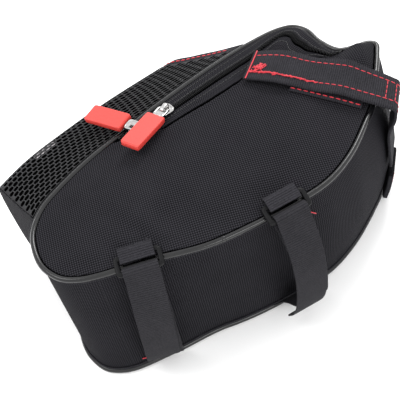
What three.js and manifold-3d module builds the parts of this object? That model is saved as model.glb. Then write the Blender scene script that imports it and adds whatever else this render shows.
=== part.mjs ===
// A wedge-shaped cloth saddle bag that lies on its back panel. Millimetres, +Z up. X runs along the strap
// edge from the narrow end to the wide front end, and Y from the strap face to the zip and the net pocket.
import * as THREE from "three";
import { mergeVertices } from "three/addons/utils/BufferGeometryUtils.js";
import Module from "manifold-3d";

// Bag
const LENGTH = 228; // the panel's outline, along the strap edge
const DEPTH = 141; // the same outline, across
const HEIGHT = 90; // from piping centre to piping centre
const WALL_SWELL = 7; // the most that the front wall bulges out
const CLOTH = 1.5;
const PIPING_R = 1.7;
const GAP = 0.3; // between pieces that are sewn together
const PANEL_PUFF = 8; // the filled top panel's rise at its middle
const OUTLINE_STEPS = 64;

// Zip
const ZIP_DEPTH_FRONT = 28; // the two tapes and the coil together, round the front corner
const ZIP_DEPTH_REAR = 18; // and at the pulls
const ZIP_FROM = 0.45; // share of the outline where the zip starts, at the front notch
const ZIP_CORNER = 0.53; // share at the front corner
const ZIP_TO = 0.775; // share where it ends, under the pulls
const ZIP_TAPER = 0.035; // share of the outline over which its ends narrow
const TAPE = 0.9;
const COIL_WIDTH = 4.2;
const COIL_SHARE = 0.4; // the most of the zip's depth that the coil takes
const COIL_RISE = 1.7;
const SLIDER_LENGTH = 11;
const SLIDER_WIDTH = 8.5;
const SLIDER_PLATE = 1.2;
const BRIDGE_WIDTH = 2.6;
const BRIDGE_LENGTH = 7;
const BRIDGE_WALL = 0.8;
const PIVOT_R = 0.7; // the crossbar of a pull, under the bridge
const PIVOT_CLEAR = 0.8;
const PULL_PLATE = 1.4;
const PULL_HEAD_WIDTH = 7.6;
const PULL_HEAD = 8; // from the pivot to where the grip starts
const GRIP_LENGTH = 29;
const GRIP_WIDTH = 12.5;
const GRIP_THICK = 3.4;

// Hook-and-loop straps with their plastic loops
const STRAP_WIDTH = 20;
const STRAP = 1.2;
const STRAP_PLY_GAP = 0.4; // between the two plies of a closed strap
const STRAP_LEAN = 6; // how far the free end leans to the narrow end
const ROOT_LEAN = 3; // and the sewn-in root
const LOOP_BAR = 3;
const LOOP_THICK = 2.6;
const LOOP_SIDE_CLEAR = 0.5; // between a strap's edge and its loop
const LOOP_IN = 5.2; // the loop's inner bar lies this far inside the piping
const LOOP_OUT = 5.7; // and its outer bar this far outside
const LOOP_IN_RISE = 5.6; // the bars' heights above the piping's centre
const LOOP_OUT_RISE = 2.2;
const TAB = 1;

// Seat-post strap
const POST_WIDTH = 23.5;
const POST = 1.6;
const POST_AT = 0.353; // share of the outline where it crosses the piping
const POST_TURN_DEG = -8.5; // how far it turns from square to the piping
const POST_SLACK = 6.5; // how far its bight stands off the wall
const POST_RISE = 4; // and over the piping
const POST_REACH = 77; // from the piping to its end beside the zip
const ROOT_THICK = 3.6;
const ROOT_TALL = 26;
const STRIP = 1;
const STRIP_WIDTH = 24;
const STRIP_SHIFT = -1.5; // towards the strap edge, so that it shows beside the strap
const STRIP_FROM = 0.06; // its ends, as shares of POST_REACH
const STRIP_TO = 0.62;
const STRIP_ROWS = 10;

// Net pocket
const POCKET_FROM = 0.884; // share of the outline where its closed end is sewn on
const POCKET_TO = 0.602; // share where its rim meets the piping
const NET = 1.2;
const NET_COLUMNS = 13; // gaps along it
const NET_ROWS = 8; // gaps round it
const NET_FROM = 0.004; // the net's ends, as shares of the pocket
const NET_SEAM = 0.006;
const RIM_SHARE = 0.06; // the rim binding's width, as a share of the pocket
const RIM_THICK = 2.2;
const RIM_STEPS = 20; // facets round it
const POCKET_END = 1.3;
const POCKET_END_STEPS = 14; // facets round it
const PATCH = 0.8;
const PATCH_BEHIND = 2.6; // how far it lies inside the net
const PATCH_PLACE = { along: [0.22, 0.26, 0.3, 0.34], round: [0.3, 0.35, 0.4] }; // shares of the net

// The top panel's outline, anticlockwise from above, in shares of LENGTH and DEPTH: swell is the share of
// WALL_SWELL for the wall under that point, and the back columns say how far the back panel's outline has
// slipped under it.
const OUTLINE = [
  { along: 0.132, across: 0.011, swell: 0.1, backAlong: 0, backAcross: -0.087 },
  { along: 0.263, across: 0.011, swell: 0.1, backAlong: 0, backAcross: -0.06 },
  { along: 0.404, across: 0.0, swell: 0.15, backAlong: 0, backAcross: -0.008 },
  { along: 0.526, across: 0.028, swell: 0.3, backAlong: 0, backAcross: -0.012 },
  { along: 0.649, across: 0.074, swell: 0.5, backAlong: 0, backAcross: -0.008 },
  { along: 0.737, across: 0.128, swell: 0.7, backAlong: 0, backAcross: -0.005 },
  { along: 0.811, across: 0.22, swell: 0.9, backAlong: 0.006, backAcross: -0.005 },
  { along: 0.882, across: 0.355, swell: 1.0, backAlong: 0.016, backAcross: -0.01 },
  { along: 0.925, across: 0.447, swell: 1.0, backAlong: 0.02, backAcross: -0.01 },
  { along: 0.957, across: 0.567, swell: 1.0, backAlong: 0.02, backAcross: -0.005 },
  { along: 0.99, across: 0.69, swell: 0.9, backAlong: 0.015, backAcross: 0 },
  { along: 1.0, across: 0.748, swell: 0.6, backAlong: 0.01, backAcross: 0 },
  { along: 0.982, across: 0.768, swell: 0.3, backAlong: 0.005, backAcross: 0 },
  { along: 0.939, across: 0.766, swell: 0.1, backAlong: 0, backAcross: 0 },
  { along: 0.9, across: 0.779, swell: 0.0, backAlong: 0, backAcross: 0 },
  { along: 0.864, across: 0.862, swell: 0.1, backAlong: 0, backAcross: 0 },
  { along: 0.846, across: 0.946, swell: 0.3, backAlong: 0, backAcross: 0 },
  { along: 0.816, across: 0.992, swell: 0.4, backAlong: 0, backAcross: 0 },
  { along: 0.77, across: 1.0, swell: 0.3, backAlong: 0, backAcross: 0 },
  { along: 0.693, across: 0.972, swell: 0.2, backAlong: 0, backAcross: 0 },
  { along: 0.592, across: 0.915, swell: 0.2, backAlong: 0, backAcross: -0.01 },
  { along: 0.482, across: 0.837, swell: 0.2, backAlong: 0, backAcross: -0.02 },
  { along: 0.373, across: 0.752, swell: 0.1, backAlong: 0, backAcross: -0.035 },
  { along: 0.268, across: 0.66, swell: 0.1, backAlong: 0, backAcross: -0.05 },
  { along: 0.18, across: 0.582, swell: 0.1, backAlong: 0, backAcross: -0.06 },
  { along: 0.092, across: 0.482, swell: 0.0, backAlong: 0.004, backAcross: -0.07 },
  { along: 0.035, across: 0.397, swell: 0.0, backAlong: 0.008, backAcross: -0.075 },
  { along: 0.004, across: 0.298, swell: 0.0, backAlong: 0.012, backAcross: -0.08 },
  { along: 0.0, across: 0.213, swell: 0.0, backAlong: 0.012, backAcross: -0.085 },
  { along: 0.013, across: 0.121, swell: 0.0, backAlong: 0.012, backAcross: -0.085 },
  { along: 0.048, across: 0.05, swell: 0.0, backAlong: 0.008, backAcross: -0.087 },
  { along: 0.088, across: 0.021, swell: 0.1, backAlong: 0.004, backAcross: -0.087 },
];

// Bulges and dents of the top panel: place in shares of LENGTH and DEPTH, spread as a share of DEPTH, and
// rise as a share of PANEL_PUFF.
const DENTS = [
  { along: 0.825, across: 0.83, spread: 0.17, rise: 1.1 }, // the full corner beside the zip
  { along: 0.94, across: 0.66, spread: 0.13, rise: 0.8 }, // the full corner beside the wall
  { along: 0.885, across: 0.745, spread: 0.075, rise: -0.9 }, // the notch between them
  { along: 0.235, across: 0.1, spread: 0.1, rise: -0.25 }, // under the first loop
  { along: 0.6, across: 0.15, spread: 0.1, rise: -0.25 }, // under the second
];

// The outer ply of a closed strap, from the loop to its free end: out as a share of the strap's own arch,
// rise as a share of HEIGHT.
const STRAP_LINE = [
  { out: 0.5, rise: 0.95 },
  { out: 0.72, rise: 0.86 },
  { out: 0.89, rise: 0.74 },
  { out: 0.98, rise: 0.61 },
  { out: 1.0, rise: 0.47 },
  { out: 0.95, rise: 0.32 },
  { out: 0.8, rise: 0.19 },
  { out: 0.6, rise: 0.09 },
];
const STRAPS = [
  { name: "strap_rear", at: 0.042, arch: 24 },
  { name: "strap_front", at: 0.188, arch: 27 },
];

// A section of the net pocket: out towards its far edge, rise from the back piping to the top one.
const POCKET_SECTION = [
  { out: 0.0, rise: 1.0 },
  { out: 0.3, rise: 0.945 },
  { out: 0.62, rise: 0.9 },
  { out: 0.92, rise: 0.84 },
  { out: 1.0, rise: 0.66 },
  { out: 1.0, rise: 0.34 },
  { out: 0.92, rise: 0.16 },
  { out: 0.62, rise: 0.1 },
  { out: 0.3, rise: 0.055 },
  { out: 0.0, rise: 0.0 },
];
// The pocket's far edge from its closed end to its rim, in shares of LENGTH and DEPTH.
const POCKET_EDGE = [
  { along: -0.088, across: 0.69 },
  { along: -0.005, across: 0.79 },
  { along: 0.095, across: 0.877 },
  { along: 0.235, across: 0.982 },
  { along: 0.41, across: 1.09 },
];

// Colours
const BLACK_CLOTH = new THREE.MeshStandardMaterial({ color: 0x1b1b1e, roughness: 0.85 });
const BLACK_NET = new THREE.MeshStandardMaterial({ color: 0x161618, roughness: 0.7 });
const WEBBING = new THREE.MeshStandardMaterial({ color: 0x202224, roughness: 0.8 });
const GLOSS_BLACK = new THREE.MeshStandardMaterial({ color: 0x141416, roughness: 0.3 });
const BLACK_PLASTIC = new THREE.MeshStandardMaterial({ color: 0x242527, roughness: 0.45 });
const CHROME = new THREE.MeshStandardMaterial({ color: 0xc9cacc, roughness: 0.2, metalness: 1 });
const CORAL = new THREE.MeshStandardMaterial({ color: 0xf0382c, roughness: 0.5 });
const PALE_GREY = new THREE.MeshStandardMaterial({ color: 0xb9b9bb, roughness: 0.6 });

const UP = new THREE.Vector3(0, 0, 1);
const BACK_LEVEL = GAP + PIPING_R; // the back piping's centre
const TOP_LEVEL = BACK_LEVEL + HEIGHT;
const EDGE_INSET = PIPING_R + GAP; // from a piping's centre to the cloth beside it
const ON_PANEL = 2.5 * GAP; // under what lies on the top panel
const CENTRE = new THREE.Vector2(0.5 * LENGTH, 0.45 * DEPTH);

const wasm = await Module();
wasm.setup();

const mix = THREE.MathUtils.lerp;
const sum = (...vectors) => vectors.reduce((total, v) => total.add(v), new THREE.Vector3());
const level = (flat, z) => new THREE.Vector3(flat.x, flat.y, z);

// Shapes

function closedSurface(positions, triangles) {
  const geometry = new THREE.BufferGeometry();
  geometry.setAttribute("position", new THREE.Float32BufferAttribute(positions.flatMap((p) => p.toArray()), 3));
  geometry.setIndex(triangles.flat());
  geometry.computeVertexNormals();
  return geometry;
}

// A cloth wall from a grid of points on its outer face. ring joins the last row to the first, hub closes
// the last column with a fan, and open says which cells are holes.
function clothWall(grid, thickness, { ring = false, hub = false, open = () => false } = {}) {
  const rows = grid.length;
  const columns = grid[0].length;
  const row = (i) => (ring ? (i + rows) % rows : THREE.MathUtils.clamp(i, 0, rows - 1));
  const column = (j) => THREE.MathUtils.clamp(j, 0, columns - 1);
  const at = (i, j) => grid[row(i)][column(j)];
  const inner = grid.map((line, i) =>
    line.map((p, j) => {
      const alongRows = at(i + 1, j).clone().sub(at(i - 1, j));
      const alongColumns = at(i, j + 1).clone().sub(at(i, j - 1));
      return p.clone().addScaledVector(alongRows.cross(alongColumns).normalize(), -thickness);
    }),
  );
  const positions = [...grid.flat(), ...inner.flat()];
  const vertex = (i, j, face) => face * rows * columns + row(i) * columns + j;
  const triangles = [];
  const quad = (a, b, c, d) => triangles.push([a, b, c], [a, c, d]);
  const cloth = (i, j) => (ring || (i >= 0 && i < rows - 1)) && j >= 0 && j < columns - 1 && !open(row(i), j);
  for (let i = 0; i < (ring ? rows : rows - 1); i++) {
    for (let j = 0; j < columns - 1; j++) {
      if (!cloth(i, j)) continue;
      quad(vertex(i, j, 0), vertex(i + 1, j, 0), vertex(i + 1, j + 1, 0), vertex(i, j + 1, 0));
      quad(vertex(i, j, 1), vertex(i, j + 1, 1), vertex(i + 1, j + 1, 1), vertex(i + 1, j, 1));
      const sides = [
        [cloth(i, j - 1), i, j, i + 1, j],
        [cloth(i + 1, j), i + 1, j, i + 1, j + 1],
        [cloth(i, j + 1) || (hub && j === columns - 2), i + 1, j + 1, i, j + 1],
        [cloth(i - 1, j), i, j + 1, i, j],
      ];
      for (const [joined, i0, j0, i1, j1] of sides) {
        if (!joined) quad(vertex(i0, j0, 0), vertex(i0, j0, 1), vertex(i1, j1, 1), vertex(i1, j1, 0));
      }
    }
  }
  if (hub) {
    for (const [face, lines] of [grid, inner].entries()) {
      const middle = sum(...lines.map((line) => line[columns - 1])).divideScalar(rows);
      positions.push(middle);
      for (let i = 0; i < rows; i++) {
        const edge = [vertex(i, columns - 1, face), vertex(i + 1, columns - 1, face)];
        triangles.push([...(face ? edge.reverse() : edge), positions.length - 1]);
      }
    }
  }
  return closedSurface(positions, triangles);
}

// A section swept through frames of a centre, a side and an up vector. The section's points run
// clockwise with side to the right and up upwards, and side crossed with up points back along the path.
function sweep(frames, section, closed = false) {
  const count = section.length;
  const positions = frames.flatMap(({ centre, side, up }) =>
    section.map(([a, b]) => centre.clone().addScaledVector(side, a).addScaledVector(up, b)),
  );
  const triangles = [];
  for (let i = 0; i < (closed ? frames.length : frames.length - 1); i++) {
    const next = (i + 1) % frames.length;
    for (let j = 0; j < count; j++) {
      const k = (j + 1) % count;
      const [a, b, c, d] = [i * count + j, i * count + k, next * count + k, next * count + j];
      triangles.push([a, b, c], [a, c, d]);
    }
  }
  if (!closed) {
    const last = (frames.length - 1) * count;
    for (let j = 1; j < count - 1; j++) {
      triangles.push([0, j + 1, j], [last, last + j, last + j + 1]);
    }
  }
  return closedSurface(positions, triangles);
}

// A flat band along a line of points, with a side vector at each.
function band(points, sides, width, thickness) {
  const frames = points.map((centre, i) => {
    const before = points[Math.max(i - 1, 0)];
    const after = points[Math.min(i + 1, points.length - 1)];
    const up = sides[i].clone().cross(after.clone().sub(before)).normalize();
    return { centre, side: sides[i], up };
  });
  return sweep(frames, rectangle(width, thickness));
}

function rectangle(width, thickness) {
  const [a, b] = [width / 2, thickness / 2];
  return [[-a, -b], [-a, b], [a, b], [a, -b]];
}

function circle(radius, sides) {
  return Array.from({ length: sides }, (_, k) => {
    const angle = (-2 * Math.PI * (k + 0.5)) / sides;
    return [radius * Math.cos(angle), radius * Math.sin(angle)];
  });
}

function smoothLine(points, steps) {
  return new THREE.CatmullRomCurve3(points, false, "centripetal").getSpacedPoints(steps);
}

function solid(geometry) {
  const bare = geometry.index ? geometry.toNonIndexed() : geometry.clone();
  bare.deleteAttribute("normal");
  bare.deleteAttribute("uv");
  const merged = mergeVertices(bare, 1e-4);
  return new wasm.Manifold(
    new wasm.Mesh({
      numProp: 3,
      vertProperties: merged.attributes.position.array,
      triVerts: new Uint32Array(merged.index.array),
    }),
  );
}

function joined(...geometries) {
  const whole = geometries.map(solid).reduce((a, b) => a.add(b));
  const { vertProperties, triVerts } = whole.getMesh();
  const geometry = new THREE.BufferGeometry();
  geometry.setAttribute("position", new THREE.BufferAttribute(new Float32Array(vertProperties), 3));
  geometry.setIndex(new THREE.BufferAttribute(new Uint32Array(triVerts), 1));
  geometry.computeVertexNormals();
  return geometry;
}

// A plate in the XY plane, centred on Z, from a THREE.Shape.
function plate(shape, thickness, bevel = 0) {
  const depth = thickness - 2 * bevel;
  const geometry = new THREE.ExtrudeGeometry(shape, {
    depth,
    curveSegments: 3,
    bevelEnabled: bevel > 0,
    bevelSize: bevel,
    bevelThickness: bevel,
    bevelSegments: 1,
    bevelOffset: -bevel,
  });
  return geometry.translate(0, 0, -depth / 2);
}

function roundedRectangle(x0, y0, x1, y1, radius, Kind = THREE.Shape) {
  const shape = new Kind();
  shape.moveTo(x0 + radius, y0);
  shape.lineTo(x1 - radius, y0).absarc(x1 - radius, y0 + radius, radius, -Math.PI / 2, 0);
  shape.lineTo(x1, y1 - radius).absarc(x1 - radius, y1 - radius, radius, 0, Math.PI / 2);
  shape.lineTo(x0 + radius, y1).absarc(x0 + radius, y1 - radius, radius, Math.PI / 2, Math.PI);
  shape.lineTo(x0, y0 + radius).absarc(x0 + radius, y0 + radius, radius, Math.PI, 1.5 * Math.PI);
  return shape;
}

function named(name, geometry, material) {
  const mesh = new THREE.Mesh(geometry, material.clone());
  mesh.name = name;
  return mesh;
}

// The bag's form

// The outline's curve carries the wall's swell as its third coordinate.
const outlineCurve = new THREE.CatmullRomCurve3(
  OUTLINE.map((row) => new THREE.Vector3(row.along * LENGTH, row.across * DEPTH, row.swell)),
  true,
  "centripetal",
);
const slipCurve = new THREE.CatmullRomCurve3(
  OUTLINE.map((row) => new THREE.Vector3(row.backAlong * LENGTH, row.backAcross * DEPTH, 0)),
  true,
);

// One place on the outline: its point on the top piping, the way along it and the way out.
function edgeAt(share) {
  const at = outlineCurve.getPointAt((share + 1) % 1);
  const along = outlineCurve.getTangentAt((share + 1) % 1).setZ(0).normalize();
  const slip = slipCurve.getPoint(outlineCurve.getUtoTmapping((share + 1) % 1));
  return {
    share,
    slip: new THREE.Vector2(slip.x, slip.y),
    point: new THREE.Vector2(at.x, at.y),
    along,
    out: new THREE.Vector3(along.y, -along.x, 0),
    swell: at.z,
  };
}

const EDGES = Array.from({ length: OUTLINE_STEPS }, (_, i) => edgeAt(i / OUTLINE_STEPS));

// A point of the wall at a height share, moved out by offset.
function wallPoint(edge, rise, offset = 0) {
  const swell = WALL_SWELL * edge.swell * 4 * rise * (1 - rise);
  const flat = edge.point.clone().addScaledVector(edge.slip, 1 - rise);
  return level(flat, BACK_LEVEL + HEIGHT * rise).addScaledVector(edge.out, swell + offset);
}

// How far out from the centre a point lies, as a share of the way to the outline.
function shareOut(x, y) {
  const p = new THREE.Vector2(x, y).sub(CENTRE);
  for (let i = 0; i < OUTLINE_STEPS; i++) {
    const a = EDGES[i].point.clone().sub(CENTRE);
    const b = EDGES[(i + 1) % OUTLINE_STEPS].point.clone().sub(CENTRE);
    const whole = a.cross(b);
    const towardsA = p.cross(b) / whole;
    const towardsB = a.cross(p) / whole;
    if (towardsA >= 0 && towardsB >= 0) return towardsA + towardsB;
  }
  return 0;
}

// The top surface's height over a point in the outline.
function topHeight(x, y) {
  const share = Math.min(shareOut(x, y), 1);
  const nearEdge = Math.min(1, (1 - share) / 0.08);
  const dents = DENTS.reduce((total, dent) => {
    const away = Math.hypot(x - dent.along * LENGTH, y - dent.across * DEPTH) / (dent.spread * DEPTH);
    return total + dent.rise * Math.exp(-away * away);
  }, 0);
  return TOP_LEVEL + CLOTH / 2 + PANEL_PUFF * (1 - share * share + nearEdge * dents);
}

// A point of the top surface, inset from the piping's centre.
function topPoint(edge, inset, lift = 0) {
  const reach = level(edge.point.clone().sub(CENTRE), 0).dot(edge.out);
  const flat = edge.point.clone().sub(CENTRE).multiplyScalar(1 - inset / reach).add(CENTRE);
  return level(flat, topHeight(flat.x, flat.y) + lift);
}

// The zip's depth at a place on the outline: full between its tapered ends, nothing elsewhere.
function zipDepth(share) {
  const start = THREE.MathUtils.smoothstep(share, ZIP_FROM, ZIP_FROM + ZIP_TAPER);
  const end = 1 - THREE.MathUtils.smoothstep(share, ZIP_TO - ZIP_TAPER, ZIP_TO);
  const back = THREE.MathUtils.clamp((share - ZIP_CORNER) / (ZIP_TO - ZIP_TAPER - ZIP_CORNER), 0, 1);
  return mix(ZIP_DEPTH_FRONT, ZIP_DEPTH_REAR, back) * start * end;
}

function piping(name, rise) {
  const frames = EDGES.map((edge) => ({ centre: wallPoint(edge, rise), side: edge.out, up: UP }));
  return named(name, sweep(frames, circle(PIPING_R, 6), true), GLOSS_BLACK);
}

function gusset() {
  const margin = EDGE_INSET / HEIGHT;
  const rises = [0, 0.25, 0.5, 0.75, 1].map((share) => mix(margin, 1 - margin, share));
  const grid = EDGES.map((edge) => rises.map((rise) => wallPoint(edge, rise, -GAP)));
  return named("gusset", clothWall(grid, CLOTH, { ring: true }), BLACK_CLOTH);
}

function backPanel() {
  const points = EDGES.map((edge) => wallPoint(edge, 0, -EDGE_INSET));
  const shape = new THREE.Shape(points.map((p) => new THREE.Vector2(p.x, p.y)));
  return named("back_panel", plate(shape, CLOTH).translate(0, 0, CLOTH / 2), BLACK_CLOTH);
}

function topPanel() {
  const rings = [1, 0.92, 0.82, 0.7, 0.56, 0.4, 0.2];
  const grid = EDGES.map((edge, i) => {
    const depth = zipDepth(i / OUTLINE_STEPS);
    const rim = topPoint(edge, EDGE_INSET + depth + (depth > 0 ? 7 * GAP : 0));
    return rings.map((ring) => {
      const x = mix(CENTRE.x, rim.x, ring);
      const y = mix(CENTRE.y, rim.y, ring);
      return new THREE.Vector3(x, y, topHeight(x, y));
    });
  });
  return named("top_panel", clothWall(grid, CLOTH, { ring: true, hub: true }), BLACK_CLOTH);
}

// Zip

const ZIP_EDGES = EDGES.filter((edge) => zipDepth(edge.share) > 2 * (TAPE + GAP));

const coilWidth = (share) => Math.min(COIL_WIDTH, COIL_SHARE * zipDepth(share));

// One tape, between two depths that are given at each edge.
function zipTape(name, nearAt, farAt) {
  const grid = ZIP_EDGES.map((edge) => {
    const [near, far] = [nearAt(edge.share), farAt(edge.share)];
    return [0, 0.5, 1].map((k) => topPoint(edge, EDGE_INSET + mix(near, far, k)));
  });
  return named(name, clothWall(grid, TAPE), BLACK_CLOTH);
}

const outerTape = (share) => (zipDepth(share) - coilWidth(share)) / 2 - GAP;
const innerTape = (share) => (zipDepth(share) + coilWidth(share)) / 2 + GAP;

// The coil fills the way between the tapes; its side vector is as long as the coil is wide.
function coilFrame(share) {
  const step = 0.5 / OUTLINE_STEPS;
  const between = (at) => {
    const edge = edgeAt(at);
    const outer = topPoint(edge, EDGE_INSET + outerTape(at) + 1.5 * GAP);
    const inner = topPoint(edge, EDGE_INSET + innerTape(at) - 1.5 * GAP);
    return { across: outer.clone().sub(inner), centre: outer.lerp(inner, 0.5) };
  };
  const { across, centre } = between(share);
  const along = between(share + step).centre.sub(between(share - step).centre).normalize();
  const side = along.clone().cross(UP).setLength(Math.abs(across.dot(along.clone().cross(UP).normalize())));
  const up = side.clone().cross(along).normalize();
  return { centre: centre.addScaledVector(up, COIL_RISE / 2), along, side, up };
}

function zipCoil() {
  const b = COIL_RISE / 2;
  const section = [[-0.5, -b], [-0.5, 0], [-0.25, b], [0.25, b], [0.5, 0], [0.5, -b]];
  return named("zip_coil", sweep(ZIP_EDGES.map((edge) => coilFrame(edge.share)), section), GLOSS_BLACK);
}

const PIVOT_RISE = SLIDER_PLATE + PIVOT_CLEAR + PIVOT_R; // above the slider's underside
const BRIDGE_CLEAR = PIVOT_RISE + PIVOT_R + PIVOT_CLEAR;

// A slider's cap over the coil. Its own X runs along the zip, and the bridge that holds the pull is
// turned with that pull.
function slider(turn) {
  const body = roundedRectangle(-SLIDER_LENGTH / 2, -SLIDER_WIDTH / 2, SLIDER_LENGTH / 2, SLIDER_WIDTH / 2, 2.4);
  const cap = plate(body, SLIDER_PLATE).translate(0, 0, SLIDER_PLATE / 2);
  const [half, top] = [BRIDGE_LENGTH / 2, BRIDGE_CLEAR + BRIDGE_WALL];
  const arch = new THREE.Shape();
  arch.moveTo(-half, SLIDER_PLATE / 2).lineTo(half, SLIDER_PLATE / 2).lineTo(half, BRIDGE_CLEAR);
  arch.lineTo(half - BRIDGE_WALL, top).lineTo(-half + BRIDGE_WALL, top).lineTo(-half, BRIDGE_CLEAR);
  const eye = new THREE.Path();
  eye.moveTo(-half + BRIDGE_WALL, SLIDER_PLATE).lineTo(half - BRIDGE_WALL, SLIDER_PLATE);
  eye.lineTo(half - BRIDGE_WALL, BRIDGE_CLEAR).lineTo(-half + BRIDGE_WALL, BRIDGE_CLEAR);
  arch.holes.push(eye);
  return joined(cap, plate(arch, BRIDGE_WIDTH).rotateX(Math.PI / 2).rotateZ(turn));
}

// A pull in its own frame: the pivot at the origin, lying along +X.
function pullTab() {
  const half = PULL_HEAD_WIDTH / 2;
  const frame = roundedRectangle(-PIVOT_R, -half, PULL_HEAD, half, 0.8);
  const reach = BRIDGE_LENGTH / 2 + BRIDGE_WALL;
  const eye = BRIDGE_WIDTH / 2 + PIVOT_CLEAR + 0.4;
  frame.holes.push(roundedRectangle(PIVOT_R, -eye, reach, eye, 0.3, THREE.Path));
  return plate(frame, PULL_PLATE);
}

function grip() {
  const outline = roundedRectangle(0, -GRIP_WIDTH / 2, GRIP_LENGTH, GRIP_WIDTH / 2, 1.4);
  return plate(outline, GRIP_THICK, 0.5).translate(PULL_HEAD + GAP, 0, 0);
}

// The two sliders, each with its pull as it was left: turn is the way that it points from above, and
// tilt how far it rises.
const PULLS = [
  { name: "front", at: 0.713, turn: 225.5, tilt: 10 },
  { name: "rear", at: 0.752, turn: 133, tilt: -10 },
];

function pulls() {
  return PULLS.flatMap(({ name, at, turn, tilt }) => {
    const { centre, along, side, up } = coilFrame(at);
    const seat = centre.clone().addScaledVector(up, COIL_RISE / 2 + GAP);
    const heading = THREE.MathUtils.degToRad(turn);
    const head = named(`slider_${name}`, slider(heading - Math.atan2(along.y, along.x)), CHROME);
    const basis = new THREE.Matrix4().makeBasis(along, side.clone().normalize().negate(), up);
    head.applyMatrix4(basis.setPosition(seat));
    const flap = new THREE.Group();
    flap.rotation.set(0, THREE.MathUtils.degToRad(-tilt), heading, "ZYX");
    flap.position.copy(seat.clone().addScaledVector(up, PIVOT_RISE));
    flap.add(named(`pull_${name}`, pullTab(), CHROME), named(`grip_${name}`, grip(), CORAL));
    return [head, flap];
  });
}

// Straps

// Points in the upright plane square to an edge: out from the piping's line and up from the floor.
function planePoint(edge, out, height, lean = 0) {
  return level(edge.point, height).addScaledVector(edge.out, out).addScaledVector(edge.along, -lean);
}

// A line of [out, height] pairs, moved square to itself by a distance.
function besideLine(line, distance) {
  return line.map(([out, height], i) => {
    const [before, after] = [line[Math.max(i - 1, 0)], line[Math.min(i + 1, line.length - 1)]];
    const [dx, dy] = [after[0] - before[0], after[1] - before[1]];
    const length = Math.hypot(dx, dy);
    return [out + (dy / length) * distance, height - (dx / length) * distance];
  });
}

// A strap from its free end at the bottom up the outside, over the loop's outer bar, and down inside the
// outer ply to its root in the lower seam.
function hookStrap({ name, at, arch }) {
  const edge = edgeAt(at);
  const turnR = Math.hypot(LOOP_BAR, LOOP_THICK) / 2 + GAP + STRAP / 2;
  const outer = STRAP_LINE.map(({ out, rise }) => [out * arch, BACK_LEVEL + rise * HEIGHT]);
  const fold = [0, 45, 90, 135, 180].map((angle) => {
    const turn = THREE.MathUtils.degToRad(angle);
    return [LOOP_OUT + turnR * Math.cos(turn), TOP_LEVEL + LOOP_OUT_RISE + turnR * Math.sin(turn)];
  });
  const under = [LOOP_OUT - turnR + GAP / 2, TOP_LEVEL - LOOP_BAR / 2];
  const inner = besideLine(outer, STRAP + STRAP_PLY_GAP).slice(1, -2);
  const foot = wallPoint(edge, 0).sub(level(edge.point, BACK_LEVEL)).dot(edge.out) + 2 * STRAP;
  const rootHeight = BACK_LEVEL + PIPING_R + GAP + STRAP;
  const root = [
    [mix(foot, arch, 0.35), BACK_LEVEL + 0.16 * HEIGHT],
    [foot + STRAP / 2, rootHeight + STRAP],
    [foot, rootHeight],
  ];
  const leanAt = (height, most) => most * THREE.MathUtils.clamp((TOP_LEVEL - height) / HEIGHT, 0, 1);
  const ply = (line, most) => line.map(([out, height]) => planePoint(edge, out, height, leanAt(height, most)));
  const points = [...ply([...outer.reverse(), ...fold], STRAP_LEAN), ...ply([under, ...inner, ...root], ROOT_LEAN)];
  return named(name, band(points, points.map(() => edge.along), STRAP_WIDTH, STRAP), WEBBING);
}

// The loop's own frame: X along the bag's edge, Y from its outer bar to its inner one.
function loopFrame(edge) {
  const outer = planePoint(edge, LOOP_OUT, TOP_LEVEL + LOOP_OUT_RISE);
  const inner = planePoint(edge, -LOOP_IN, TOP_LEVEL + LOOP_IN_RISE);
  const way = inner.clone().sub(outer);
  const length = way.length();
  way.normalize();
  return { outer, inner, way, length, up: edge.along.clone().cross(way) };
}

function plasticLoop({ name, at }) {
  const edge = edgeAt(at);
  const { outer, way, length, up } = loopFrame(edge);
  const half = STRAP_WIDTH / 2 + LOOP_SIDE_CLEAR;
  const [bar, wide] = [LOOP_BAR / 2, half + LOOP_BAR];
  const shape = roundedRectangle(-wide, -bar, wide, length + bar, 1.6);
  shape.holes.push(roundedRectangle(-half, bar, half, length - bar, 0.6, THREE.Path));
  const loop = named(name.replace("strap", "loop"), plate(shape, LOOP_THICK), BLACK_PLASTIC);
  loop.applyMatrix4(new THREE.Matrix4().makeBasis(edge.along, way, up).setPosition(outer));
  return loop;
}

// The ribbed webbing that is sewn into the seam and holds the loop's inner bar.
function loopTab({ name, at }) {
  const edge = edgeAt(at);
  const turnR = Math.hypot(LOOP_BAR, LOOP_THICK) / 2 + GAP + TAB / 2;
  const [out, height] = [-LOOP_IN, TOP_LEVEL + LOOP_IN_RISE];
  const turned = [60, 90, 135, 180, 225, 270].map((angle) => {
    const turn = THREE.MathUtils.degToRad(angle);
    return planePoint(edge, out + turnR * Math.cos(turn), height + turnR * Math.sin(turn));
  });
  const inset = EDGE_INSET + TAB;
  const seam = topPoint(edge, inset, TAB);
  const points = [planePoint(edge, -inset + TAB, height + TAB), ...turned, seam];
  return named(name.replace("strap", "tab"), band(points, points.map(() => edge.along), STRAP_WIDTH, TAB), WEBBING);
}

// Three points across a band on the top panel, at a place on the seat-post strap's line inwards from the
// piping, and lift above the panel.
function postStrapRow(edge, inwards, lift, width, shift = 0) {
  const way = edge.out.clone().negate().applyAxisAngle(UP, THREE.MathUtils.degToRad(POST_TURN_DEG));
  const side = way.clone().cross(UP);
  return [-0.5, 0, 0.5].map((share) => {
    const flat = level(edge.point, 0).addScaledVector(way, inwards).addScaledVector(side, -share * width + shift);
    return flat.setZ(topHeight(flat.x, flat.y) + lift);
  });
}

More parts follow.
